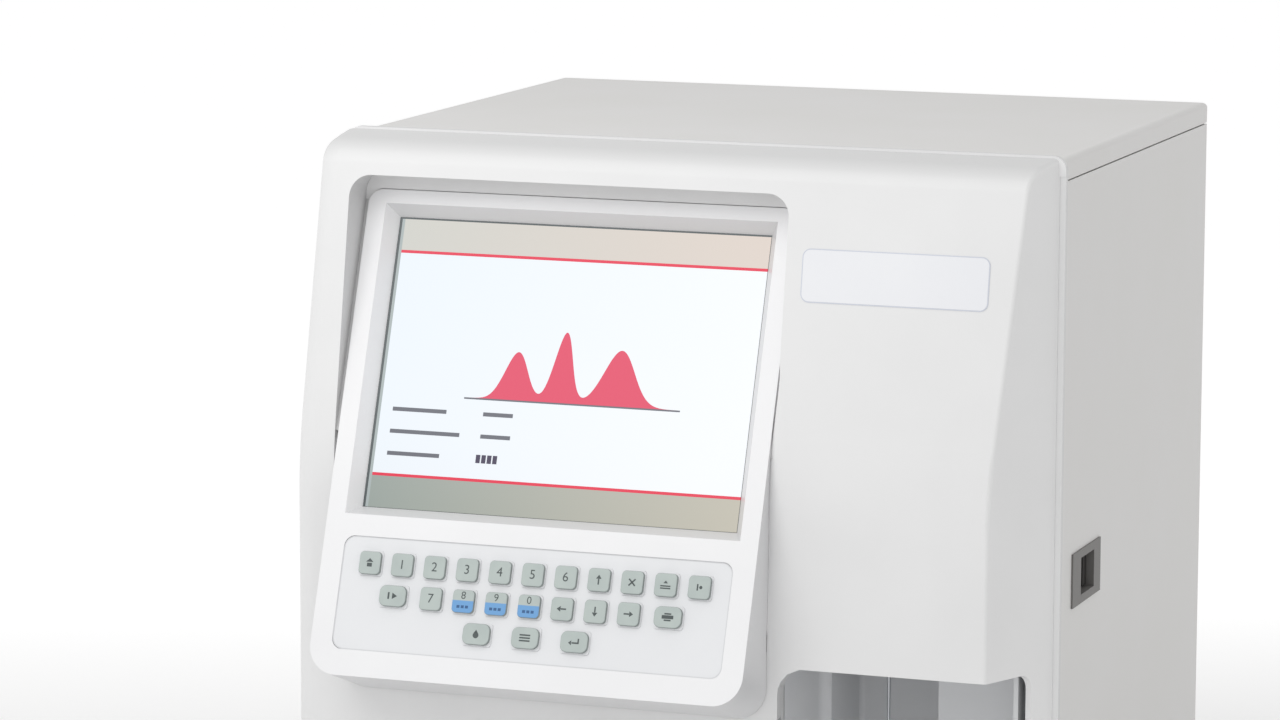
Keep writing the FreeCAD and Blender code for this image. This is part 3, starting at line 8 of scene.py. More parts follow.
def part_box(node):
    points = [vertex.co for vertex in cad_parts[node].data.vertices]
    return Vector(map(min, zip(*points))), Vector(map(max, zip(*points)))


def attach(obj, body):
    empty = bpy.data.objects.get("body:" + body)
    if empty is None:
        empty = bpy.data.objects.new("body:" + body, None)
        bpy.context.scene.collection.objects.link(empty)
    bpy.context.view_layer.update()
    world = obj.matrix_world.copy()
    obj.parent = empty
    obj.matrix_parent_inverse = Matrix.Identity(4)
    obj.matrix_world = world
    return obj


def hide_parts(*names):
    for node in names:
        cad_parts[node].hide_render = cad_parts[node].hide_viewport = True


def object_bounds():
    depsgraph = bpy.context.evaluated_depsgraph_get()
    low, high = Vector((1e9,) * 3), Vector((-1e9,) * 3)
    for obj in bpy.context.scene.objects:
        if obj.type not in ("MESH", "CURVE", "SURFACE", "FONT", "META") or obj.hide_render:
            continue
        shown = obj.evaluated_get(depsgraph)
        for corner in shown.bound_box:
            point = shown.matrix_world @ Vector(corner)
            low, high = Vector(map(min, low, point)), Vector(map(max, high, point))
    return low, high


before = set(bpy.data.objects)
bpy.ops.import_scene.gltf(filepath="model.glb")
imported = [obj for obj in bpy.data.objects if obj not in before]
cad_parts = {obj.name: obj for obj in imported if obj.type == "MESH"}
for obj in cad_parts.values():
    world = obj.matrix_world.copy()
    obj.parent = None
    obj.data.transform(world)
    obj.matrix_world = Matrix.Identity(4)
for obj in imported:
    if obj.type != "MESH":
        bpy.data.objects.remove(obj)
cad_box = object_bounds()
MM = 0.001


# How a material is written: each value in its node tree is a Wire, which adds, multiplies and
# compares like a number, and the finished wires are fed into the principled shader.

class Wire:
    """A value in a material's node tree."""

    def __init__(self, tree, socket):
        self.tree = tree
        self.socket = socket

    def node(self, kind, *values, output=0, **settings):
        """The output of a new node, whose inputs are given as pairs of place and value."""
        made = self.tree.nodes.new(kind)
        for name, setting in settings.items():
            setattr(made, name, setting)
        for place, value in values:
            if isinstance(value, Wire):
                self.tree.links.new(value.socket, made.inputs[place])
            else:
                made.inputs[place].default_value = value
        return Wire(self.tree, made.outputs[output])

    def math(self, operation, other=0.0):
        return self.node("ShaderNodeMath", (0, self), (1, other), operation=operation)

    def __add__(self, other):
        return self.math("ADD", other)

    def __sub__(self, other):
        return self.math("SUBTRACT", other)

    def __mul__(self, other):
        return self.math("MULTIPLY", other)

    def __gt__(self, edge):
        return self.math("GREATER_THAN", edge)

    def __lt__(self, edge):
        return self.math("LESS_THAN", edge)

    def along(self, axis):
        """How far this position lies along an axis."""
        return self.node("ShaderNodeVectorMath", (0, self), (1, axis), operation="DOT_PRODUCT", output=1)

    def noise(self, size, detail=2.0):
        """Cloudy noise whose patches are about size metres wide."""
        return self.node("ShaderNodeTexNoise", ("Vector", self), ("Scale", 1 / size), ("Detail", detail))

    def ramp(self, low, high, out_low=0.0, out_high=1.0):
        """This value's range from low to high, stretched to a new range and cut off outside it."""
        return self.node(
            "ShaderNodeMapRange", (0, self), (1, low), (2, high), (3, out_low), (4, out_high)
        )

    def blend(self, first, second):
        """A colour between two colours, by this value."""
        return self.node("ShaderNodeMix", (0, self), (6, first), (7, second), output=2, data_type="RGBA")

    def bump(self, depth):
        """A normal that is bent by this value as a height."""
        return self.node("ShaderNodeBump", ("Height", self), ("Distance", depth), ("Strength", 1.0))


def linear(red, green, blue):
    """A colour given as it looks on screen, from 0 to 255, as the shader needs it."""
    shares = [channel / 255 for channel in (red, green, blue)]
    return [c / 12.92 if c <= 0.04045 else ((c + 0.055) / 1.055) ** 2.4 for c in shares] + [1.0]


def new_material(name, **constants):
    """A principled material with its constant sockets set; gives the material, shader and position."""
    material = bpy.data.materials.new(name)
    material.use_nodes = True
    shader = material.node_tree.nodes["Principled BSDF"]
    for place, value in constants.items():
        shader.inputs[place.replace("_", " ")].default_value = value
    start = Wire(material.node_tree, None)
    return material, shader, start.node("ShaderNodeTexCoord", output="Object")


def feed(shader, **wires):
    for place, wire in wires.items():
        wire.tree.links.new(wire.socket, shader.inputs[place.replace("_", " ")])


def surface_normal(position):
    return position.node("ShaderNodeNewGeometry", output="Normal")


def grained(
    name, light, dark, roughness, grain=0.45 * MM, depth=0.012 * MM, patch=60 * MM, painted_shade=None, **constants
):
    """A surface with cloudy colour between two close tones and a fine grain.

    A painted shade is a function and a tone: the tone is painted on as shade where the function is low.
    """
    material, shader, position = new_material(name, **constants)
    clouds = position.noise(patch)
    grains = position.noise(grain, 3.0)
    colour = clouds.ramp(0.3, 0.7).blend(linear(*dark), linear(*light))
    # Painted shade: the darker tone is laid on the faces that the function marks as turned from the light.
    if painted_shade:
        painted_light_share, painted_shade_tone = painted_shade
        colour = painted_light_share(position, surface_normal(position)).blend(linear(*painted_shade_tone), colour)
    feed(
        shader,
        Base_Color=colour,
        Roughness=(clouds + grains).ramp(0.6, 1.4, roughness - 0.05, roughness + 0.05),
        Normal=grains.bump(depth),
    )
    return material


def dress(material, *nodes):
    """Gives CAD nodes their material."""
    for node in nodes:
        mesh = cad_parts[node].data
        mesh.materials.clear()
        mesh.materials.append(material)


# How a shape is made: a thin sheet with round corners, or a loft whose skin runs over a row of
# rings. A finished shape is placed in the frame and rides on a body.

def rounded_sheet(width, height, corner, thickness):
    """A thin sheet with round corners, flat at z = 0 and centred."""
    mesh = bmesh.new()
    bmesh.ops.create_grid(mesh, x_segments=1, y_segments=1, size=0.5)
    bmesh.ops.scale(mesh, vec=(width, height, 1), verts=mesh.verts)
    bmesh.ops.bevel(
        mesh, geom=mesh.verts[:], offset=corner, offset_type="OFFSET", affect="VERTICES",
        segments=8, profile=0.5, material=-1,
    )
    thicken(mesh, Vector((0, 0, thickness)))
    return mesh


def thicken(mesh, step):
    """Turns a flat mesh into a solid, by a copy of its faces one step away."""
    made = bmesh.ops.extrude_face_region(mesh, geom=mesh.faces[:])
    moved = [item for item in made["geom"] if isinstance(item, bmesh.types.BMVert)]
    bmesh.ops.translate(mesh, vec=step, verts=moved)
    bmesh.ops.recalc_face_normals(mesh, faces=mesh.faces)


def loft(rings, closed=True):
    """A skin over rings of equal count, closed at the last one or left open there."""
    mesh = bmesh.new()
    corners = bmesh.ops.create_circle(mesh, segments=len(rings[0]), radius=1.0)["verts"]

    def rim():
        return [edge for edge in mesh.edges if all(vertex in corners for vertex in edge.verts)]

    for index, points in enumerate(rings):
        if index:
            fresh = bmesh.ops.extrude_edge_only(mesh, edges=rim())["geom"]
            partners = [[edge.other_vert(vertex) for edge in vertex.link_edges] for vertex in corners]
            corners = [next(vertex for vertex in near if vertex in fresh) for near in partners]
        for vertex, point in zip(corners, points):
            vertex.co = point
    end = bmesh.ops.contextual_create(mesh, geom=rim())["faces"]
    bmesh.ops.recalc_face_normals(mesh, faces=mesh.faces)
    if not closed:
        mesh.faces.remove(end[0])
    return mesh


def rounded_ring(width, height, corner, level, rise=0.0):
    """Points round a rectangle with round corners, in millimetres; rise moves it up the face."""
    points = []
    for turn, (side, end) in enumerate(((1, 1), (-1, 1), (-1, -1), (1, -1))):
        for step in range(7):
            angle = math.pi / 2 * (turn + step / 6)
            x = side * (width / 2 - corner) + corner * math.cos(angle)
            y = end * (height / 2 - corner) + corner * math.sin(angle)
            points.append((x * MM, (y + rise) * MM, level * MM))
    return points


def stepped_rings(width, height, *steps):
    """Rings round one rectangle; each step says how much wider the ring is, its corner and level."""
    return [rounded_ring(width + more, height + more, corner, level) for more, corner, level in steps]


def ring(radius, height, corners=0, count=24):
    """Points round a circle, or round a regular polygon whose corner radius is given."""
    points = []
    for index in range(count):
        angle = 2 * math.pi * index / count
        reach = radius
        if corners:
            half = math.pi / corners
            reach = radius * math.cos(half) / math.cos(angle % (2 * half) - half)
        points.append((reach * math.cos(angle), reach * math.sin(angle), height))
    return points


def stand(origin, right, up):
    """The matrix that lays a flat piece with these two axes at this origin."""
    out = right.cross(up)
    matrix = Matrix((right, up, out)).transposed().to_4x4()
    matrix.translation = origin
    return matrix


def place(mesh, name, matrix, material, body, finish):
    """Turns a bmesh into a piece that stands in the frame and rides on a body."""
    mesh.transform(matrix)
    data = bpy.data.meshes.new(name)
    mesh.to_mesh(data)
    mesh.free()
    data.materials.append(material)
    piece = bpy.data.objects.new(name, data)
    bpy.context.collection.objects.link(piece)
    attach(piece, body)
    return piece


# The console leans back by its tilt, and the moulded front by its lean. Each has a direction that
# runs up its face and one that points straight out of it.

right_axis = Vector((1, 0, 0))
rear_right_axis = Vector((-1, 0, 0))
up_axis = Vector((0, 0, 1))
to_rear = Vector((0, 1, 0))
tilt = math.radians(19.85)
panel_up = Vector((0, math.sin(tilt), math.cos(tilt)))
panel_out = Vector((0, -math.cos(tilt), math.sin(tilt)))
lean = math.atan2(28, 165)
front_up = Vector((0, math.sin(lean), math.cos(lean)))
front_out = Vector((0, -math.cos(lean), math.sin(lean)))


# The moulded front and the console are thick white plastic, spark-eroded to a fine matt grain in
# the tool. The mottling of the colour is slight, and the grain only breaks up the highlights.

console_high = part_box("console_housing")[1]
TOP_BORDER = 6 * MM


def front_painted_light_share(position, normal):
    """Low where shade is painted on the front: on its upper side, right side and undersides."""
    # Faces turned away from a light in front, to the left and above take the painted shade, and so do faces
    # that look up.
    sides = normal.along((-0.6, -0.8, 0.5)).ramp(-0.5, -0.25)
    return sides * normal.along(up_axis).ramp(0.2, 0.95, 1.0, 0.0)


def console_painted_light_share(position, normal):
    """Low where shade is painted: on the console's sides and the window's slopes, but for its top side and
    the left slope.
    """
    left_slope = (position.along(right_axis) < 0.0) * (normal.along(right_axis) > 0.3)
    top_side = (position.along(up_axis) > console_high.z - TOP_BORDER) * (normal.along(up_axis) > 0.6)
    return normal.along(panel_out).ramp(0.8, 0.97).math("MAXIMUM", left_slope).math("MAXIMUM", top_side)


# The moulded front has a painted shade of 212 grey on its upper side, right side and undersides.
moulded_white = grained(
    "moulded_white", (238, 238, 238), (235, 235, 235), 0.42,
    painted_shade=(front_painted_light_share, (212, 212, 212)), Coat_Weight=0.08,
)
dress(moulded_white, "front_fascia", "recorder_door", "recorder_body")
# The console has a painted shade of 222 grey on its sides and on the window's slopes.
console_white = grained(
    "console_white", (245, 245, 246), (242, 242, 243), 0.36,
    painted_shade=(console_painted_light_share, (222, 222, 223)), Coat_Weight=0.1,
)
dress(console_white, "console_housing")


# The cabinet is folded steel sheet under grey-white powder paint. The paint has the faint orange
# peel of a baked coat, and its colour is a little warmer and darker than the plastic. The chassis
# inside it is zinc-plated sheet with a fine spangle.

cabinet_paint = grained(
    "cabinet_paint", (221, 220, 219), (218, 217, 215), 0.5, grain=1.1 * MM, depth=0.02 * MM, patch=90 * MM
)
dress(cabinet_paint, "top_cover", "left_panel", "right_door", "rear_panel")

zinc_sheet = grained(
    "zinc_sheet", (176, 180, 184), (150, 155, 160), 0.38,
    grain=2.5 * MM, depth=0.004 * MM, patch=7 * MM, Metallic=0.9,
)
dress(zinc_sheet, "chassis", "door_hinge_pins", "vacuum_pump")


# The feet are black rubber plugs, dull, with a slight cloudy mottle.

black_rubber = grained("black_rubber", (52, 52, 51), (36, 36, 36), 0.78, grain=0.6 * MM, depth=0.03 * MM)
dress(black_rubber, "rubber_feet")


# The label plate on the bulge is a clear-coated plastic sticker, left bare, with a thin pale
# blue-grey edge. It lies on the leaning face above the sampling bay.

fascia_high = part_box("front_fascia")[1]
label_width = 101 * MM
label_height = 28 * MM
label_corner = 4.5 * MM
label_border = 0.6 * MM
label_left = fascia_high.x - 132 * MM
label_top = fascia_high.z - 50 * MM
shoulder = Vector((0, fascia_high.y - 25 * MM, fascia_high.z - 7 * MM))


def label_stand(out):
    """The matrix of the label's middle, this far out of the leaning face."""
    drop = (shoulder.z - label_top) / math.cos(lean) + label_height / 2
    middle = shoulder + right_axis * (label_left + label_width / 2) - front_up * drop + front_out * out
    return stand(middle, right_axis, front_up)


label_white = grained("label_white", (243, 244, 247), (240, 241, 245), 0.22, depth=0.0, Coat_Weight=0.6)
label_edge = grained("label_edge", (214, 218, 228), (210, 214, 224), 0.25, depth=0.0, Coat_Weight=0.6)
rim_sheet = rounded_sheet(label_width, label_height, label_corner, 0.35 * MM)
place(rim_sheet, "label_rim", label_stand(-0.1 * MM), label_edge, "cabinet", "moulded_white")
face_sheet = rounded_sheet(
    label_width - 2 * label_border, label_height - 2 * label_border, label_corner - label_border, 0.15 * MM
)
place(face_sheet, "label_face", label_stand(0.2 * MM), label_white, "cabinet", "moulded_white")


# Beside the console the bulge over the bay ends in a soft lip that runs up to the console's side
# wall, down to the bay's upper left corner. It lies over the moulding's face and follows its lean.

front_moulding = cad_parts["front_fascia"]
OPEN_AIR = 1.0
lip_left = console_high.x + 0.05 * MM
lip_reach = 20 * MM
lip_low = 161 * MM
lip_high = 345 * MM
lip_depth = 9 * MM
lip_drop = 2.2 * MM
lip_taper = 2.5 * MM
lip_sunk = 0.02 * MM
lip_overlap = 0.6 * MM
lip_columns = 10
lip_rows = 46
first_spot = 3 * MM
spot_count = 61
past_lip = 6 * MM
bay_top = 198 * MM
wall_depth = 16 * MM
drop_low = 205 * MM
drop_high = 255 * MM
taper_low = 305 * MM


def share_between(value, low, high):
    """How far a value lies between two others, from 0 to 1."""
    return min(max((value - low) / (high - low), 0.0), 1.0)


def front_level(x, z):
    """Where the moulded front's face lies at this place, or far behind where it is open."""
    found, spot = front_moulding.ray_cast(Vector((x, -1.0, z)), to_rear)[:2]
    return spot.y if found else OPEN_AIR


def lip_row(z):
    """Points of the lip at one height, from the console's side to where it meets the face."""
    level = front_level(lip_left + lip_reach + past_lip, max(z, bay_top))
    spot_pitch = (lip_reach - first_spot) / (spot_count - 1)
    spots = [lip_left + first_spot + spot_pitch * index for index in range(spot_count)]
    solid = [x for x in spots if front_level(x, z) < level + wall_depth]
    flush = [x for x in solid if front_level(x, z) < level + lip_sunk]
    end = flush[0] + lip_overlap if flush else solid[-1]
    drop = lip_drop * share_between(z, drop_low, drop_high)
    left = lip_left + lip_taper * share_between(z, taper_low, lip_high)
    shares = [(column / lip_columns) ** 1.5 for column in range(lip_columns + 1)]
    return [(left + (end - left) * share, level - lip_sunk + drop * (1 - share) ** 4, z) for share in shares]


rows = [lip_row(lip_low + (lip_high - lip_low) * row / lip_rows) for row in range(lip_rows + 1)]
lip = bmesh.new()
bmesh.ops.create_grid(lip, x_segments=lip_columns, y_segments=lip_rows, size=0.5)
for vertex in lip.verts:
    column = round((vertex.co.x + 0.5) * lip_columns)
    row = round((vertex.co.y + 0.5) * lip_rows)
    vertex.co = rows[row][column]
thicken(lip, to_rear * lip_depth)
place(lip, "console_lip", Matrix.Identity(4), moulded_white, "cabinet", "moulded_white")


# The screen is a flat panel behind the console's bevelled window. It shows a start page: a warm
# band above and below, two red rules, and a pale field with a cell curve, plain bars and blocks.
# What is on the page is placed in millimetres from the panel's upper left corner.

screen_width = 211.2 * MM
screen_height = 158.4 * MM
module_border = 6.5 * MM
module_low, module_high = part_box("display_module")
module_height = screen_height + 2 * module_border
screen_corner = Vector((module_low.x, module_low.y + module_height * math.sin(tilt), module_high.z))
screen_corner += right_axis * module_border - panel_up * module_border
screen_middle = screen_corner + right_axis * (screen_width / 2) - panel_up * (screen_height / 2)
picture_gap = 0.06 * MM
picture_inset = 0.4 * MM
rule_width = 1.6
upper_rule = 17.9
lower_rule = 139.5
base_line = 96
base_width = 0.9
base_span = (50, 172)
cell_span = (52, 170)
cell_peaks = ((78, 26, 9), (104, 38, 7), (136, 30, 12))
text_left = 10
text_second = (62, 79)
text_top = 103.5
text_pitch = 12
text_height = 2.2
text_lengths = (31, 40, 30)
block_left = 61
block_top = 126.5
block_bottom = 131
block_pitch = 3.2
block_width = 2.5
left_shadow = 1.5
left_soft_shadow = 3.1
top_shadow = 0.9
EDGE_TO_EDGE = (-1000, 1000)


def screen_material():
    """The picture on the glass, drawn in the panel's own millimetres."""
    material, shader, position = new_material(
        "screen_picture", Base_Color=(0.012, 0.013, 0.014, 1), Roughness=0.16, Emission_Strength=0.94
    )
    right = position.along(right_axis) - screen_corner.x
    down = position.along(-panel_up) + screen_corner.dot(panel_up)

    def box(left_edge, right_edge, top_edge, bottom_edge):
        """1 inside a box that is given in millimetres, and 0 outside it."""
        across = (right > left_edge * MM) * (right < right_edge * MM)
        return across * (down > top_edge * MM) * (down < bottom_edge * MM)

    glow = (right * 2.2 + down).ramp(0.0, 0.55)
    page = glow.blend(linear(234, 242, 250), linear(246, 249, 252))
    sweep = right.ramp(0.0, screen_width)
    upper_band = sweep.blend(linear(205, 205, 198), linear(221, 208, 198))
    lower_band = sweep.blend(linear(152, 162, 156), linear(192, 187, 172))
    picture = (down < upper_rule * MM).blend(page, upper_band)
    picture = (down > lower_rule * MM).blend(picture, lower_band)
    rules = box(*EDGE_TO_EDGE, upper_rule, upper_rule + rule_width)
    rules = rules + box(*EDGE_TO_EDGE, lower_rule, lower_rule + rule_width)
    picture = rules.blend(picture, linear(230, 6, 62))

    curve = right * 0.0
    for middle, height, width in cell_peaks:
        away = (right - middle * MM) * (1 / (width * MM))
        curve = curve + (away * away * -1.0).math("EXPONENT") * (height * MM)
    under = (down > (curve * -1.0 + base_line * MM)) * box(*cell_span, 0, base_line)
    picture = under.blend(picture, linear(226, 52, 92))

    bars = box(*base_span, base_line, base_line + base_width)
    for row, length in enumerate(text_lengths):
        top = text_top + text_pitch * row
        bars = bars + box(text_left, text_left + length, top, top + text_height)
        if row < 2:
            bars = bars + box(*text_second, top, top + text_height)
    picture = bars.blend(picture, linear(96, 98, 108))

    blocks = right * 0.0
    for step in range(4):
        left = block_left + block_pitch * step
        blocks = blocks + box(left, left + block_width, block_top, block_bottom)
    picture = blocks.blend(picture, linear(48, 34, 72))

    # Painted shadow: darker strips along the picture's left and top edges.
    picture = (right < left_soft_shadow * MM).blend(picture, linear(168, 178, 178))
    shaded = (right < left_shadow * MM) + (down < top_shadow * MM)
    feed(shader, Emission_Color=shaded.blend(picture, linear(72, 80, 82)))
    return material


place(
    rounded_sheet(screen_width - picture_inset, screen_height - picture_inset, 0.3 * MM, 0.2 * MM),
    "screen_picture", stand(screen_middle + panel_out * picture_gap, right_axis, panel_up),
    screen_material(), "cabinet", "screen_glass",
)
screen_edge = grained("screen_edge", (74, 80, 82), (66, 72, 74), 0.4, depth=0.0)
dress(screen_edge, "display_module")


# The keypad plate is white plastic, a shade greyer than the housing, with a hole for each key. The
# keys are grey-green plastic caps with painted shade on their sides; three of them are blue below the
# middle. The rings of the caps, the strip, the sleeves and the seal are given in millimetres.

keypad_white = grained("keypad_white", (236, 237, 239), (233, 234, 236), 0.4)
dress(keypad_white, "keypad_plate")
dress(grained("circuit_green", (38, 92, 62), (30, 80, 54), 0.35), "key_board", "main_board")


def outer_face(node):
    """The middle, width and height of the face that lies furthest out along the console's normal."""
    points = [vertex.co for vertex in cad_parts[node].data.vertices]
    level = max(point.dot(panel_out) for point in points)
    face = [point for point in points if level - point.dot(panel_out) < 0.01 * MM]
    across = [point.x for point in face]
    along = [point.dot(panel_up) for point in face]
    middle_up = (max(along) + min(along)) / 2
    middle = Vector(((max(across) + min(across)) / 2, 0, 0)) + panel_up * middle_up + panel_out * level
    return middle, max(across) - min(across), max(along) - min(along)


blue_keys = ("key_8", "key_9", "key_0")
all_keys = sorted(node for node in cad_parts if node.startswith("key_") and node != "key_board")
blue_face = outer_face("key_8")[0]
split_level = blue_face.dot(panel_up) + 0.4 * MM
key_level = blue_face.dot(panel_out)
collar_level = key_level - 1.8 * MM
cap_growth = 1.0
wide_cap = 15.0
cap_corner = 2.3
wide_corner = 3.6
collar_corner = 1.8


def key_material(name, split=None):
    """The cap's top colour on faces that look outward, painted shade on the sides, a white collar low on the
    cap, and blue on the part of the top that lies below a height.
    """
    material, shader, position = new_material(name, Coat_Weight=0.05)
    # Painted shade: faces that turn from the console's normal take a darker grey-green than the top.
    painted_light_share = surface_normal(position).along(panel_out).ramp(0.55, 0.97)
    grains = position.noise(0.4 * MM, 3.0)
    top = position.noise(12 * MM).ramp(0.3, 0.7).blend(linear(181, 191, 188), linear(188, 198, 194))
    if split is not None:
        top = (position.along(panel_up) < split).blend(top, linear(112, 166, 218))
    collar = position.along(panel_out) < collar_level
    feed(
        shader,
        Base_Color=collar.blend(painted_light_share.blend(linear(140, 148, 146), top), linear(234, 235, 237)),
        Roughness=grains.ramp(0.3, 0.7, 0.38, 0.5),
        Normal=grains.bump(0.01 * MM),
    )
    return material


def cap_plan(node):
    """Where a key's cap stands, and its width and height in millimetres."""
    middle, width, height = outer_face(node)
    return stand(middle, right_axis, panel_up), width / MM + cap_growth, height / MM + cap_growth


key_plastic = key_material("key_plastic")
key_plastic_blue = key_material("key_plastic_blue", split_level)
for node in all_keys:
    where, across, along = cap_plan(node)
    corner = cap_corner if across < wide_cap else wide_corner
    cap = loft(stepped_rings(
        across, along,
        (0.0, collar_corner, -3.0), (0.0, collar_corner, -1.96), (-0.1, collar_corner, -1.9),
        (-1.2, corner, -1.9), (-1.3, corner, -0.5), (-1.6, corner, -0.12), (-2.2, corner, 0.0),
    ))
    material = key_plastic_blue if node in blue_keys else key_plastic
    piece = place(cap, f"cap_{node}", where, material, node, "key_plastic")
    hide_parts(node)


# A pale strip lines the gap round the console's upper part, just behind the console's face. It ends
# where the console comes forward out of the leaning front. Its grey is painted shade on the white moulding.

console_middle, console_width, console_height = outer_face("console_housing")
console_across, console_along = console_width / MM, console_height / MM
strip_front = -2.6
strip_back = -3.6
strip_rise = 4.0
strip_outer = (console_across + 6.4, console_along + 14.6, 12.0)
strip_inner = (console_across - 1, console_along - 1, 7.5)
strip_sunk = 1.5 * MM
strip = loft([
    rounded_ring(*strip_inner, strip_back), rounded_ring(*strip_inner, strip_front),
    rounded_ring(*strip_outer, strip_front, strip_rise), rounded_ring(*strip_outer, strip_back, strip_rise),
], closed=False)
strip.transform(stand(console_middle, right_axis, panel_up))
bmesh.ops.bisect_plane(
    strip, geom=strip.verts[:] + strip.edges[:] + strip.faces[:],
    plane_co=shoulder - front_out * strip_sunk, plane_no=front_out, clear_outer=True,
)
# Painted shade: the strip is the moulding's white plastic, laid on darker as the shade in the recess.
strip_painted_shade = grained("strip_painted_shade", (206, 206, 206), (203, 203, 203), 0.5)
place(strip, "recess_strip", Matrix.Identity(4), strip_painted_shade, "cabinet", "moulded_white")


# A thin sleeve narrows each hole of the keypad plate, so that no dark gap shows round the cap. A
# thin grey seal runs round the plate's edge.

plate_middle, plate_width, plate_height = outer_face("keypad_plate")
sleeve_level = (plate_middle.dot(panel_out) - key_level) / MM + 0.02
sleeves = bmesh.new()
for node in all_keys:
    where, across, along = cap_plan(node)
    sleeve = loft(stepped_rings(
        across, along, (0.12, 1.86, sleeve_level - 1.0), (0.12, 1.86, sleeve_level),
        (1.6, 1.2, sleeve_level), (1.6, 1.2, sleeve_level - 0.02),
    ), closed=False)
    sleeve.transform(where)
    ready = bpy.data.meshes.new("sleeve")
    sleeve.to_mesh(ready)
    sleeve.free()
    sleeves.from_mesh(ready)
    bpy.data.meshes.remove(ready)
place(sleeves, "key_sleeves", Matrix.Identity(4), keypad_white, "cabinet", "moulded_white")

seal = loft(stepped_rings(
    plate_width / MM, plate_height / MM, (-0.5, 5.8, 0.03), (0.78, 6.4, 0.03), (0.78, 6.4, -0.6)
), closed=False)
seal_grey = grained("seal_grey", (222, 223, 225), (216, 217, 219), 0.5, depth=0.0)
place(seal, "keypad_seal", stand(plate_middle, right_axis, panel_up), seal_grey, "cabinet", "moulded_white")


# Each key is printed with a number, an arrow or a plain sign in dark ink. A print is a film of ink
# that lies on the cap and moves with it.

ink = grained("key_ink", (84, 92, 92), (76, 84, 84), 0.5, depth=0.0)
blue_ink = grained("key_ink_blue", (62, 104, 152), (56, 96, 142), 0.5, depth=0.0)
FILM = 0.03 * MM
number_size = 7.0 * MM
blue_number_size = 5.6 * MM
blue_number_rise = 3.0 * MM
BAR, WEDGE, DOT = "bar", "wedge", "dot"
SIGNS = {
    "main": [(WEDGE, 0, 1.1, 4.4, 2.4, 90), (BAR, 0, -1.1, 2.8, 2.0, 0)],
    "up": [(WEDGE, 0, 1.3, 3.2, 2.6, 90), (BAR, 0, -1.0, 0.8, 3.0, 0)],
    "down": [(WEDGE, 0, -1.3, 3.2, 2.6, -90), (BAR, 0, 1.0, 0.8, 3.0, 0)],
    "left": [(WEDGE, -1.3, 0, 3.2, 2.6, 180), (BAR, 1.0, 0, 3.0, 0.8, 0)],
    "right": [(WEDGE, 1.3, 0, 3.2, 2.6, 0), (BAR, -1.0, 0, 3.0, 0.8, 0)],
    "delete": [(BAR, 0, 0, 5.0, 0.8, 45), (BAR, 0, 0, 5.0, 0.8, -45)],
    "feed": [(BAR, 0, -1.8, 5.6, 0.7, 0), (BAR, 0, -0.6, 5.6, 0.7, 0), (WEDGE, 0, 1.3, 2.6, 1.8, 90)],
    "page": [(BAR, -0.9, 0, 0.8, 3.4, 0), (DOT, 0.9, 0, 1.6, 1.6, 0)],
    "start": [(WEDGE, 0.8, 0, 3.6, 3.4, 0), (BAR, -2.2, 0, 1.0, 3.6, 0)],
    "print": [(BAR, 0, 0, 6.4, 1.9, 0), (BAR, 0, 1.7, 3.8, 0.8, 0), (BAR, 0, -1.7, 3.8, 0.8, 0)],
    "dilute": [(DOT, 0, -0.6, 3.0, 3.0, 0), (WEDGE, 0, 1.2, 2.4, 2.0, 90)],
    "menu": [(BAR, 0, 1.5, 6.0, 0.8, 0), (BAR, 0, 0, 6.0, 0.8, 0), (BAR, 0, -1.5, 6.0, 0.8, 0)],
    "enter": [
        (WEDGE, -2.0, -0.6, 2.8, 2.0, 180), (BAR, 0.8, -0.6, 4.0, 0.8, 0), (BAR, 2.4, 0.6, 0.8, 2.4, 0),
    ],
}


def turned(mesh, made, degrees):
    spin = Matrix.Rotation(math.radians(degrees), 3, "Z")
    bmesh.ops.rotate(mesh, verts=made["verts"], cent=(0, 0, 0), matrix=spin)


def sign_part(mesh, shape, x, y, width, height, turn):
    """Adds one flat bar, wedge or dot of a sign to a mesh, in millimetres."""
    if shape == BAR:
        made = bmesh.ops.create_grid(mesh, x_segments=1, y_segments=1, size=0.5)
    else:
        sides = 3 if shape == WEDGE else 20
        made = bmesh.ops.create_circle(mesh, cap_ends=True, segments=sides, radius=0.55)
    if shape == WEDGE:
        turned(mesh, made, -90)
        width, height = height, width
    bmesh.ops.scale(mesh, vec=(width * MM, height * MM, 1), verts=made["verts"])
    turned(mesh, made, turn)
    bmesh.ops.translate(mesh, verts=made["verts"], vec=(x * MM, y * MM, 0))


def number_mesh(text, size):
    """A number in the built-in plain face, as a flat mesh about its own middle."""
    curve = bpy.data.curves.new("number", "FONT")
    curve.body = text
    curve.size = size
    curve.align_x = "CENTER"
    curve.align_y = "CENTER"
    holder = bpy.data.objects.new("number", curve)
    mesh = bmesh.new()
    flat = bpy.data.meshes.new_from_object(holder)
    mesh.from_mesh(flat)
    bpy.data.meshes.remove(flat)
    bpy.data.objects.remove(holder)
    return mesh


for node in all_keys:
    sign = node.removeprefix("key_")
    blue = node in blue_keys
    middle = outer_face(node)[0] + panel_out * FILM
    if sign.isdigit():
        print_mesh = number_mesh(sign, blue_number_size if blue else number_size)
    else:
        print_mesh = bmesh.new()
        for part in SIGNS[sign]:
            sign_part(print_mesh, *part)
    raised = middle + panel_up * blue_number_rise if blue else middle
    place(print_mesh, f"print_{sign}", stand(raised, right_axis, panel_up), ink, node, "key_plastic")
    if blue:
        mark = bmesh.new()
        for index in range(3):
            sign_part(mark, BAR, (index - 1) * 2.4, -2.9, 1.7, 1.5, 0)
        place(mark, f"print_{sign}_low", stand(middle, right_axis, panel_up), blue_ink, node, "key_plastic")


# The sampling bay's liner and the plate behind the needle are smooth white plastic. The needle is
# bright steel, and the wipe block under the roof is clear plastic.

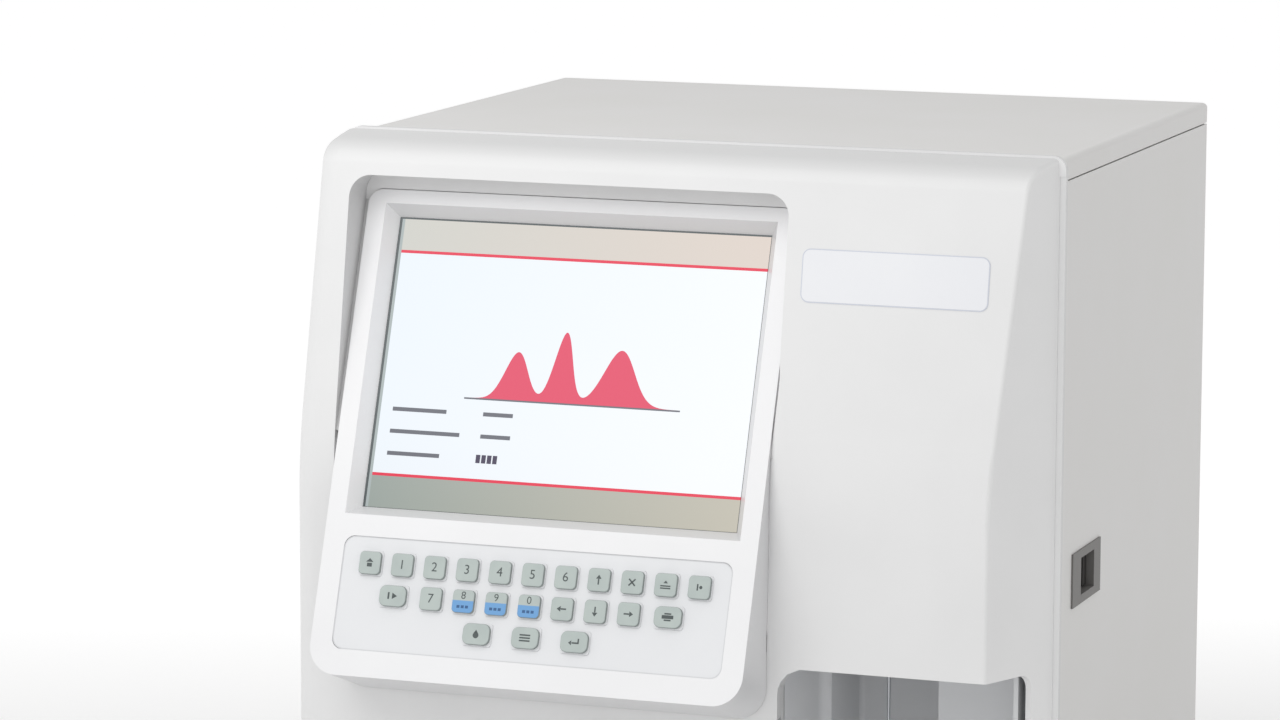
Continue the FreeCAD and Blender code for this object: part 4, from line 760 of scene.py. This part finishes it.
bay_white = grained("bay_white", (225, 226, 227), (220, 221, 223), 0.36)
dress(bay_white, "bay_liner", "tube_key")
needle_steel = grained(
    "needle_steel", (205, 207, 210), (190, 193, 197), 0.2, grain=0.5 * MM, depth=0.0, Metallic=1.0
)
dress(needle_steel, "sample_needle")
clear_plastic = grained(
    "clear_plastic", (228, 234, 238), (222, 229, 233), 0.15, depth=0.0, Transmission_Weight=0.6, IOR=1.49
)
dress(clear_plastic, "probe_wipe", "counting_baths", "vacuum_chamber")


# The latch's frame is dark grey glass-filled plastic, and the bolt is nearly black.

latch_grey = grained("latch_grey", (117, 115, 113), (107, 105, 103), 0.5, grain=0.7 * MM, depth=0.02 * MM)
dress(latch_grey, "door_latch_frame")
dark_plastic = grained("dark_plastic", (46, 44, 42), (38, 36, 34), 0.45)
dress(dark_plastic, "latch_bolt", "valve_bank", "cooling_fan", "fan_rotor", "power_inlet", "power_rocker")


# The back is closed with button-head screws in the panel's corners, on the lid's rear lip, round the
# fan and beside the mains inlet. Each head has a hexagon socket and a low dome.

screw_steel = grained("screw_steel", (198, 200, 202), (176, 179, 182), 0.28, grain=0.3 * MM, Metallic=1.0)
cover_low, cover_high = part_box("top_cover")
rear_low, rear_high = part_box("rear_panel")
fan_low, fan_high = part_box("cooling_fan")
inlet_low, inlet_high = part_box("power_inlet")


def screw(name, x, y, z, radius):
    head = loft([
        ring(radius, 0.0), ring(radius, radius * 0.2),
        ring(radius * 0.8, radius * 0.45), ring(radius * 0.55, radius * 0.55),
        ring(radius * 0.45, radius * 0.52, 6), ring(radius * 0.42, radius * 0.2, 6),
    ])
    where = stand(Vector((x, y, z)), rear_right_axis, up_axis)
    place(head, name, where, screw_steel, "cabinet", "zinc_sheet")


panel_edge = 7 * MM
fan_edge = 4 * MM
lid_shares = (0.12, 0.5, 0.88)
row_z = (rear_low.z + panel_edge, (rear_low.z + rear_high.z) / 2, rear_high.z - panel_edge)
for row, z in enumerate(row_z):
    for side, x in enumerate((rear_low.x + panel_edge, rear_high.x - panel_edge)):
        screw(f"screw_panel_{row}{side}", x, rear_high.y, z, 3.0 * MM)
for index, share in enumerate(lid_shares):
    x = cover_low.x + share * (cover_high.x - cover_low.x)
    screw(f"screw_lid_{index}", x, cover_high.y, cover_low.z + 5 * MM, 2.8 * MM)
for row, z in enumerate((fan_low.z + fan_edge, fan_high.z - fan_edge)):
    for side, x in enumerate((fan_low.x + fan_edge, fan_high.x - fan_edge)):
        screw(f"screw_fan_{row}{side}", x, rear_high.y, z, 3.4 * MM)


# The main board's sockets show at the back: two nine-pin and one twenty-five-pin socket, each a
# nickel-plated shell round a dark insert with two rows of contacts, between two hexagon posts.

board_low, board_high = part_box("main_board")
socket_middle = board_high.x - 6 * MM
SOCKETS = (
    ("socket_low", 15, 31, 9, 2.7), ("socket_middle", 55, 31, 9, 2.7), ("socket_high", 95, 53, 25, 2.0),
)
flange_length = 13 * MM
insert_gap = 2.2 * MM
shell_width = 8.4 * MM
shell_wall = 0.5 * MM
shell_depth = 1.8 * MM
socket_corner = 1.2 * MM
contact_side = 1.4 * MM
post_inset = 3.4 * MM
nickel = grained("nickel_plate", (206, 206, 202), (190, 190, 186), 0.24, grain=0.4 * MM, Metallic=1.0)
insert_blue = grained("insert_plastic", (44, 62, 98), (38, 54, 88), 0.45)
contact_gold = grained("contact_gold", (214, 184, 120), (198, 166, 102), 0.3, grain=0.3 * MM, Metallic=1.0)


def socket_ring(width, height, level):
    """The outline of a shell that is narrower on its left, seen from behind, with round corners."""
    half, long_side, short_side = width / 2, height / 2, height / 2 - socket_corner
    corners = ((-half, long_side), (-half, -long_side), (half, -short_side), (half, short_side))
    points = []
    for index, (x, y) in enumerate(corners):
        corner = Vector((x, y))
        to_last = (Vector(corners[index - 1]) - corner).normalized() * socket_corner
        to_next = (Vector(corners[(index + 1) % 4]) - corner).normalized() * socket_corner
        for step in range(5):
            share = step / 4
            spot = corner + to_last * (1 - share) ** 2 + to_next * share ** 2
            points.append((spot.x, spot.y, level))
    return points


def contact_row(count, pitch, x, level):
    """A row of small round contacts as one flat-topped mesh."""
    mesh = bmesh.new()
    for index in range(count):
        made = bmesh.ops.create_cone(
            mesh, cap_ends=True, segments=10, radius1=0.5 * MM, radius2=0.4 * MM, depth=0.8 * MM
        )
        spot = (x, (index - (count - 1) / 2) * pitch, level)
        bmesh.ops.translate(mesh, verts=made["verts"], vec=spot)
    return mesh


def board_socket(name, low, height, pins, pitch):
    """One socket on the board's rear edge, its long side upright."""
    middle = Vector((socket_middle, board_high.y, low + height / 2))
    lay = stand(middle, rear_right_axis, up_axis)
    length = height - flange_length
    inner_width, inner_length = shell_width - 2 * shell_wall, length - 2 * shell_wall
    shell = loft([
        socket_ring(shell_width, length, 0.0),
        socket_ring(shell_width, length, shell_depth),
        socket_ring(inner_width, inner_length, shell_depth),
        socket_ring(inner_width, inner_length, shell_wall),
    ])
    place(shell, f"{name}_shell", lay, nickel, "cabinet", "zinc_sheet")
    insert_width, insert_length = shell_width - insert_gap, length - insert_gap
    insert = loft([
        socket_ring(insert_width, insert_length, 0.4 * MM),
        socket_ring(insert_width, insert_length, 1.2 * MM),
    ])
    place(insert, f"{name}_insert", lay, insert_blue, "cabinet", "dark_plastic")
    for side, count in ((-1, pins // 2 + 1), (1, pins // 2)):
        row = contact_row(count, pitch, side * contact_side, 1.3 * MM)
        place(row, f"{name}_contacts_{count}", lay, contact_gold, "cabinet", "needle_steel")
    for side in (-1, 1):
        post = loft([
            ring(2.6 * MM, 0.0, 6), ring(2.6 * MM, 2.6 * MM, 6), ring(1.5 * MM, 2.8 * MM),
            ring(1.2 * MM, 2.8 * MM), ring(1.2 * MM, 1.0 * MM),
        ])
        at = middle + up_axis * side * (height / 2 - post_inset)
        where = stand(at, rear_right_axis, up_axis)
        place(post, f"{name}_post_{side + 1}", where, nickel, "cabinet", "zinc_sheet")


for name, rise, height, pins, pitch in SOCKETS:
    board_socket(name, board_low.z + rise * MM, height * MM, pins, pitch * MM)


# The mains inlet has three nickel blades in its socket, and its rocker is marked with a bar for on
# and a ring for off. Coloured rings tell the four hose nozzles apart.

inlet_middle = (inlet_low + inlet_high) / 2
blade_thickness = 2 * MM
blade_width = 4.4 * MM
blade_reach = 11 * MM
blade_root = inlet_high.y - 17.4 * MM
blade_z = inlet_low.z + 18.25 * MM
inlet_edge = 2.6 * MM
for name, x, z in (("left", 7, -1.5), ("earth", 0, 3), ("right", -7, -1.5)):
    blade = bmesh.new()
    bmesh.ops.create_cube(blade, size=1.0)
    bmesh.ops.scale(blade, vec=(blade_thickness, blade_width, blade_reach), verts=blade.verts)
    ends = [edge for edge in blade.edges if all(vertex.co.z > 0 for vertex in edge.verts)]
    bmesh.ops.bevel(
        blade, geom=ends, offset=0.6 * MM, offset_type="OFFSET", affect="EDGES",
        segments=2, profile=0.5, material=-1,
    )
    seat = Vector((inlet_middle.x + x * MM, blade_root + blade_reach / 2, blade_z + z * MM))
    where = stand(seat, rear_right_axis, up_axis)
    place(blade, f"inlet_blade_{name}", where, nickel, "cabinet", "needle_steel")

for side, x in enumerate((inlet_low.x + inlet_edge, inlet_high.x - inlet_edge)):
    screw(f"screw_inlet_{side}", x, inlet_high.y, inlet_middle.z, 1.9 * MM)

rocker_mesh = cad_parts["power_rocker"].data
rocker_low, rocker_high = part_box("power_rocker")
rocker_z = (rocker_low.z + rocker_high.z) / 2


def rocker_face(above):
    """Middle and outward direction of the rocker's upper or lower face."""
    total, middle, out = 0.0, Vector(), Vector()
    for face in rocker_mesh.polygons:
        if face.normal.y > 0.8 and (face.center.z > rocker_z) == above:
            total += face.area
            middle += face.center * face.area
            out += face.normal * face.area
    return middle / total, out.normalized()


def rocker_mark(mark, name, above):
    """Lays a mark on the middle of the rocker's upper or lower face."""
    middle, out = rocker_face(above)
    where = stand(middle + out * FILM, rear_right_axis, out.cross(rear_right_axis))
    place(mark, name, where, mark_white, "rocker", "dark_plastic")


mark_white = grained("mark_white", (232, 232, 230), (224, 224, 222), 0.5, depth=0.0)
bar_mark = bmesh.new()
sign_part(bar_mark, BAR, 0, 0, 1.0, 5.0, 0)
rocker_mark(bar_mark, "rocker_mark_on", True)
ring_mark = loft(
    [ring(2.6 * MM, 0.0), ring(2.6 * MM, FILM), ring(1.9 * MM, FILM), ring(1.9 * MM, 0.0)], closed=False
)
rocker_mark(ring_mark, "rocker_mark_off", False)

port_low, port_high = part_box("fluid_ports")
port_z = (port_low.z + port_high.z) / 2
first_port = 8.2 * MM
port_pitch = 26 * MM
band_inner = 8.15 * MM
band_outer = 9.6 * MM
RING_TONES = (
    ("blue", (48, 104, 176)), ("green", (62, 148, 92)), ("yellow", (226, 186, 62)), ("red", (190, 52, 48)),
)
for index, (name, tone) in enumerate(RING_TONES):
    darker = tuple(channel * 0.9 for channel in tone)
    band = loft([
        ring(band_inner, 2.2 * MM), ring(9.3 * MM, 2.2 * MM), ring(band_outer, 1.6 * MM),
        ring(band_outer, 0.2 * MM), ring(band_inner, 0.2 * MM),
    ], closed=False)
    at = Vector((port_low.x + first_port + port_pitch * index, rear_high.y, port_z))
    tint = grained(f"nozzle_{name}", tone, darker, 0.4)
    where = stand(at, rear_right_axis, up_axis)
    place(band, f"nozzle_band_{name}", where, tint, "cabinet", "nozzle_plastic")


# The machined and cast parts inside are plain aluminium with fine tool marks. The paper roll is
# uncoated white, and the nozzles are natural plastic.

machined = grained("machined_aluminium", (196, 198, 200), (180, 183, 186), 0.34, grain=1.5 * MM, Metallic=1.0)
dress(
    machined, "probe_lift_frame", "probe_carriage", "divider_plate", "syringe_block", "syringe_plungers",
    "power_supply",
)
paper_white = grained("paper_white", (240, 240, 236), (234, 234, 230), 0.85, grain=0.8 * MM)
dress(paper_white, "paper_roll")
nozzle_plastic = grained("nozzle_plastic", (214, 212, 204), (206, 204, 196), 0.3)
dress(nozzle_plastic, "fluid_ports")


# The studio: a wide pale floor that grows lighter away from the camera, an even white surround, and
# one broad soft light that stands in front, to the upper left.

floor_mesh = bmesh.new()
bmesh.ops.create_grid(floor_mesh, x_segments=1, y_segments=1, size=30)
floor_data = bpy.data.meshes.new("floor")
floor_mesh.to_mesh(floor_data)
floor_mesh.free()
floor = bpy.data.objects.new("floor", floor_data)
bpy.context.collection.objects.link(floor)
floor_paint, floor_shader, floor_position = new_material("floor_paint", Roughness=0.9, Emission_Strength=0.26)
far = floor_position.along((-0.34, 0.94, 0.0)).ramp(0.1, 0.9)
near_tone = floor_position.noise(0.8).ramp(0.3, 0.7).blend(linear(238, 238, 238), linear(240, 240, 240))
feed(
    floor_shader,
    Base_Color=far.blend(near_tone, linear(250, 250, 250)),
    Emission_Color=far.blend((0, 0, 0, 1), (1, 1, 1, 1)),
)
floor_data.materials.append(floor_paint)

surround_strength = 0.775
scene = bpy.context.scene
scene.view_settings.view_transform = "Standard"
world = bpy.data.worlds.new("surround")
world.use_nodes = True
surround = world.node_tree.nodes["Background"]
surround.inputs["Color"].default_value = (1.0, 1.0, 1.0, 1.0)
surround.inputs["Strength"].default_value = surround_strength
scene.world = world

body_middle = (cad_box[0] + cad_box[1]) / 2
key_offset = Vector((-0.3, -0.75, 0.72))
key_power = 2.6
key_width = 0.7
key_data = bpy.data.lights.new("key_light", "AREA")
key_data.energy = key_power
key_data.size = key_width
key_light = bpy.data.objects.new("key_light", key_data)
key_light.location = body_middle + key_offset
key_light.rotation_euler = key_offset.to_track_quat("Z", "Y").to_euler()
bpy.context.collection.objects.link(key_light)


# The camera stands where the photograph was taken from: a long lens, a little above the top cover
# and to the right of the screen, aimed so that the lowest part falls below the picture.

IMAGE_WIDTH = 1280
view_turn = math.radians(20.244)
view_rise = math.radians(8.886)
view_roll = math.radians(-0.136)
view_distance = 2695.28 * MM
focal_pixels = 5069.5
cover_middle = (cover_low.x + cover_high.x) / 2
aim_left = 33.67 * MM
aim_drop = 118.99 * MM
aim = Vector((cover_middle - aim_left, fascia_high.y, fascia_high.z - aim_drop))
back = Vector((
    math.sin(view_turn) * math.cos(view_rise),
    -math.cos(view_turn) * math.cos(view_rise),
    math.sin(view_rise),
))
camera_data = bpy.data.cameras.new("camera")
camera_data.sensor_width = 36
camera_data.lens = focal_pixels / IMAGE_WIDTH * camera_data.sensor_width
camera_data.clip_end = 100
camera = bpy.data.objects.new("camera", camera_data)
camera.location = aim + back * view_distance
level_view = back.to_track_quat("Z", "Y").to_matrix()
camera.rotation_euler = (level_view @ Matrix.Rotation(-view_roll, 3, "Z")).to_euler()
bpy.context.collection.objects.link(camera)
scene.camera = camera
